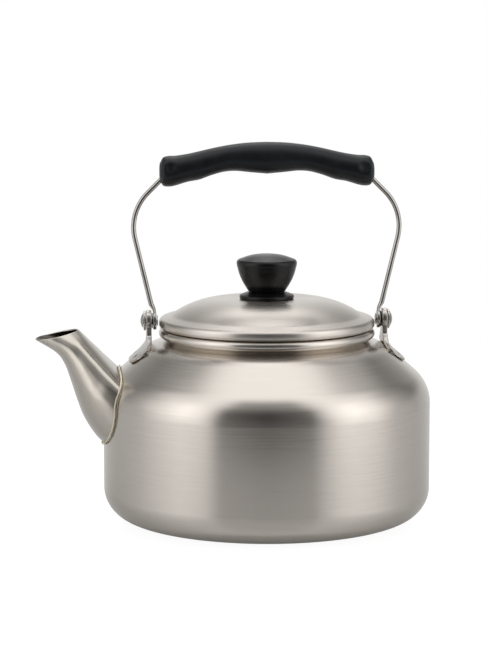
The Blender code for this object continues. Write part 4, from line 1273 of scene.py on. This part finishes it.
def coat(piece, finish, inside=None):
    """Puts a finish on a piece, and a second one on its inner side where it has a slot for that."""
    if inside:
        piece.data.materials[0], piece.data.materials[1] = finish, inside
    else:
        piece.data.materials.clear()
        piece.data.materials.append(finish)


# The spout's inner side gets the dark tints that paint the shade inside it
coat(spout, spout_steel, shaded_inside_steel)
for finish, pieces in ((body_steel, [body]), (lid_steel, [lid, lid_ring]), (braze_metal, [braze]),
                       (ear_steel, [*ears.values(), *cup_washers.values()]),
                       (polished_steel, [bail_wire, knob_screw, screw_washer, *rivets.values()]),
                       (grip_resin, [grip]), (knob_resin, [knob_seat, knob]), (brass, [knob_insert]),
                       (black_nylon, friction_washers.values())):
    for piece in pieces:
        coat(piece, finish)

# %% [markdown]
# ## Floor
#
# The kettle stands on a plain white table. To the camera the table is mostly an even white of its own,
# and the rest is paint that takes the kettle's soft shadow. To the steel it is nearly all paint.

# %% Floor
FLOOR_FRONT = -0.33
FLOOR_BACK = 0.60
FLOOR_SIDE = 0.50
FLOOR_DROP = 0.2 * mm
WHITE_TO_CAMERA = 0.78
WHITE_TO_STEEL = 0.10
WHITE_LEVEL = 1.2


def make_floor():
    leave()
    bpy.ops.mesh.primitive_plane_add(size=2, location=(0, 0, 0))
    floor = bpy.context.object
    floor.name = "floor"
    for vertex in floor.data.vertices:
        vertex.co = (vertex.co.x * FLOOR_SIDE, FLOOR_BACK if vertex.co.y > 0 else FLOOR_FRONT, -FLOOR_DROP)
    finish = bpy.data.materials.new("white_table")
    finish.use_nodes = True
    tree = finish.node_tree
    tree.nodes.clear()
    path = add(tree, "LightPath")
    seen = reckon(tree, "MAXIMUM", path.outputs["Is Glossy Ray"], path.outputs["Is Transmission Ray"])
    mirrored = reckon(tree, "MULTIPLY", seen, WHITE_TO_STEEL)
    direct = reckon(tree, "MULTIPLY", path.outputs["Is Camera Ray"], WHITE_TO_CAMERA)
    share = reckon(tree, "ADD", mirrored, direct)
    paint = give(tree, "BsdfPrincipled", {"Base Color": (0.60, 0.60, 0.60, 1), "Roughness": 0.12, "IOR": 2.2})
    white = give(tree, "Emission", {"Color": (1, 1, 1, 1), "Strength": WHITE_LEVEL})
    mixed = give(tree, "MixShader", {0: share, 1: paint, 2: white})
    add(tree, "OutputMaterial", {"Surface": mixed})
    coat(floor, finish)


make_floor()

# %% [markdown]
# ## Studio light
#
# Steel shows the room around it, so the light is drawn as a room: a soft sheet of light above, a bright
# sheet at each side, a lamp high at the back, and a dark gap in front where the camera stands. The room
# is the world's colour by direction. Three ramps go round it, one low, one at eye height and one high up,
# each with stops of degrees from the front and level, and a plain white lies above them. Each blends into
# the next between two slopes. The camera itself sees plain white.

# %% Studio
LOW_ROOM = ((-180, 0.90), (-150, 0.62), (-128, 0.50), (-100, 0.62), (-80, 1.06), (-62, 1.38), (-50, 1.24),
            (-42, 1.00), (-33, 0.19), (0, 0.08), (32, 0.17), (42, 0.76), (52, 1.30), (62, 1.50), (80, 1.30),
            (100, 0.66), (128, 0.50), (150, 0.64), (180, 0.90))
EYE_ROOM = ((-180, 0.95), (-165, 0.62), (-150, 0.36), (-136, 0.22), (-122, 0.30), (-106, 0.55), (-84, 1.15),
            (-64, 1.72), (-50, 1.45), (-41, 1.00), (-33, 0.14), (0, 0.05), (33, 0.14), (42, 0.95), (52, 1.45),
            (66, 1.78), (84, 1.38), (106, 0.60), (122, 0.34), (136, 0.20), (150, 0.36), (165, 0.62),
            (180, 0.95))
HIGH_ROOM = ((-180, 2.30), (-167, 1.90), (-155, 0.80), (-140, 0.28), (-122, 0.34), (-104, 0.92), (-80, 1.15),
             (-60, 1.35), (-42, 1.15), (-26, 0.38), (0, 0.30), (26, 0.38), (42, 1.10), (60, 1.40), (80, 1.25),
             (104, 1.00), (122, 0.52), (138, 0.38), (154, 0.85), (167, 1.90), (180, 2.30))
TOP_LIGHT = (1.42, 1.42, 1.42, 1)
LOW_TO_EYE = (4, 17)
EYE_TO_HIGH = (34, 48)
HIGH_TO_TOP = (58, 82)


def room_ramp(tree, turn_share, stops):
    ramp = add(tree, "ValToRGB", {"Fac": turn_share})
    elements = ramp.color_ramp.elements
    places = [degrees / 360 + 0.5 for degrees, level in stops]
    elements[0].position, elements[1].position = places[:2]
    for place in places[2:]:
        elements.new(place)
    for element, place, (degrees, level) in zip(elements, places, stops):
        element.position, element.color = place, (level, level, level, 1)
    return ramp.outputs[0]


def make_studio():
    world = bpy.data.worlds.new("studio")
    bpy.context.scene.world = world
    world.use_nodes = True
    tree = world.node_tree
    tree.nodes.clear()
    look = add(tree, "TexCoord").outputs["Generated"]
    faced = give(tree, "Mapping", {"Vector": look, "Rotation": (0, 0, CAMERA_YAW)})
    split = add(tree, "SeparateXYZ", {0: faced})
    front = reckon(tree, "MULTIPLY", split.outputs["Y"], -1.0)
    angle = reckon(tree, "ARCTAN2", split.outputs["X"], front)
    share = give(tree, "MapRange", {"Value": angle, "From Min": -pi, "From Max": pi})
    room, middle, high = (room_ramp(tree, share, stops) for stops in (LOW_ROOM, EYE_ROOM, HIGH_ROOM))
    for slopes, above in ((LOW_TO_EYE, middle), (EYE_TO_HIGH, high), (HIGH_TO_TOP, TOP_LIGHT)):
        first, last = (sin(radians(slope)) for slope in slopes)
        rise = give(tree, "MapRange", {"Value": split.outputs["Z"], "From Min": first, "From Max": last},
                    interpolation_type="SMOOTHSTEP")
        room = add(tree, "Mix", {"Factor": rise, 6: room, 7: above}, data_type="RGBA").outputs[2]
    lit = give(tree, "Background", {"Color": room, "Strength": 1.0})
    white = give(tree, "Background", {"Color": (1, 1, 1, 1), "Strength": 1.0})
    path = add(tree, "LightPath")
    mixed = give(tree, "MixShader", {0: path.outputs["Is Camera Ray"], 1: lit, 2: white})
    add(tree, "OutputWorld", {"Surface": mixed})


make_studio()

# %% [markdown]
# ## Look
#
# The Standard view shows a colour as it is written.

# %% Finish
bpy.context.scene.view_settings.view_transform = "Standard"


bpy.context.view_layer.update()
leave()
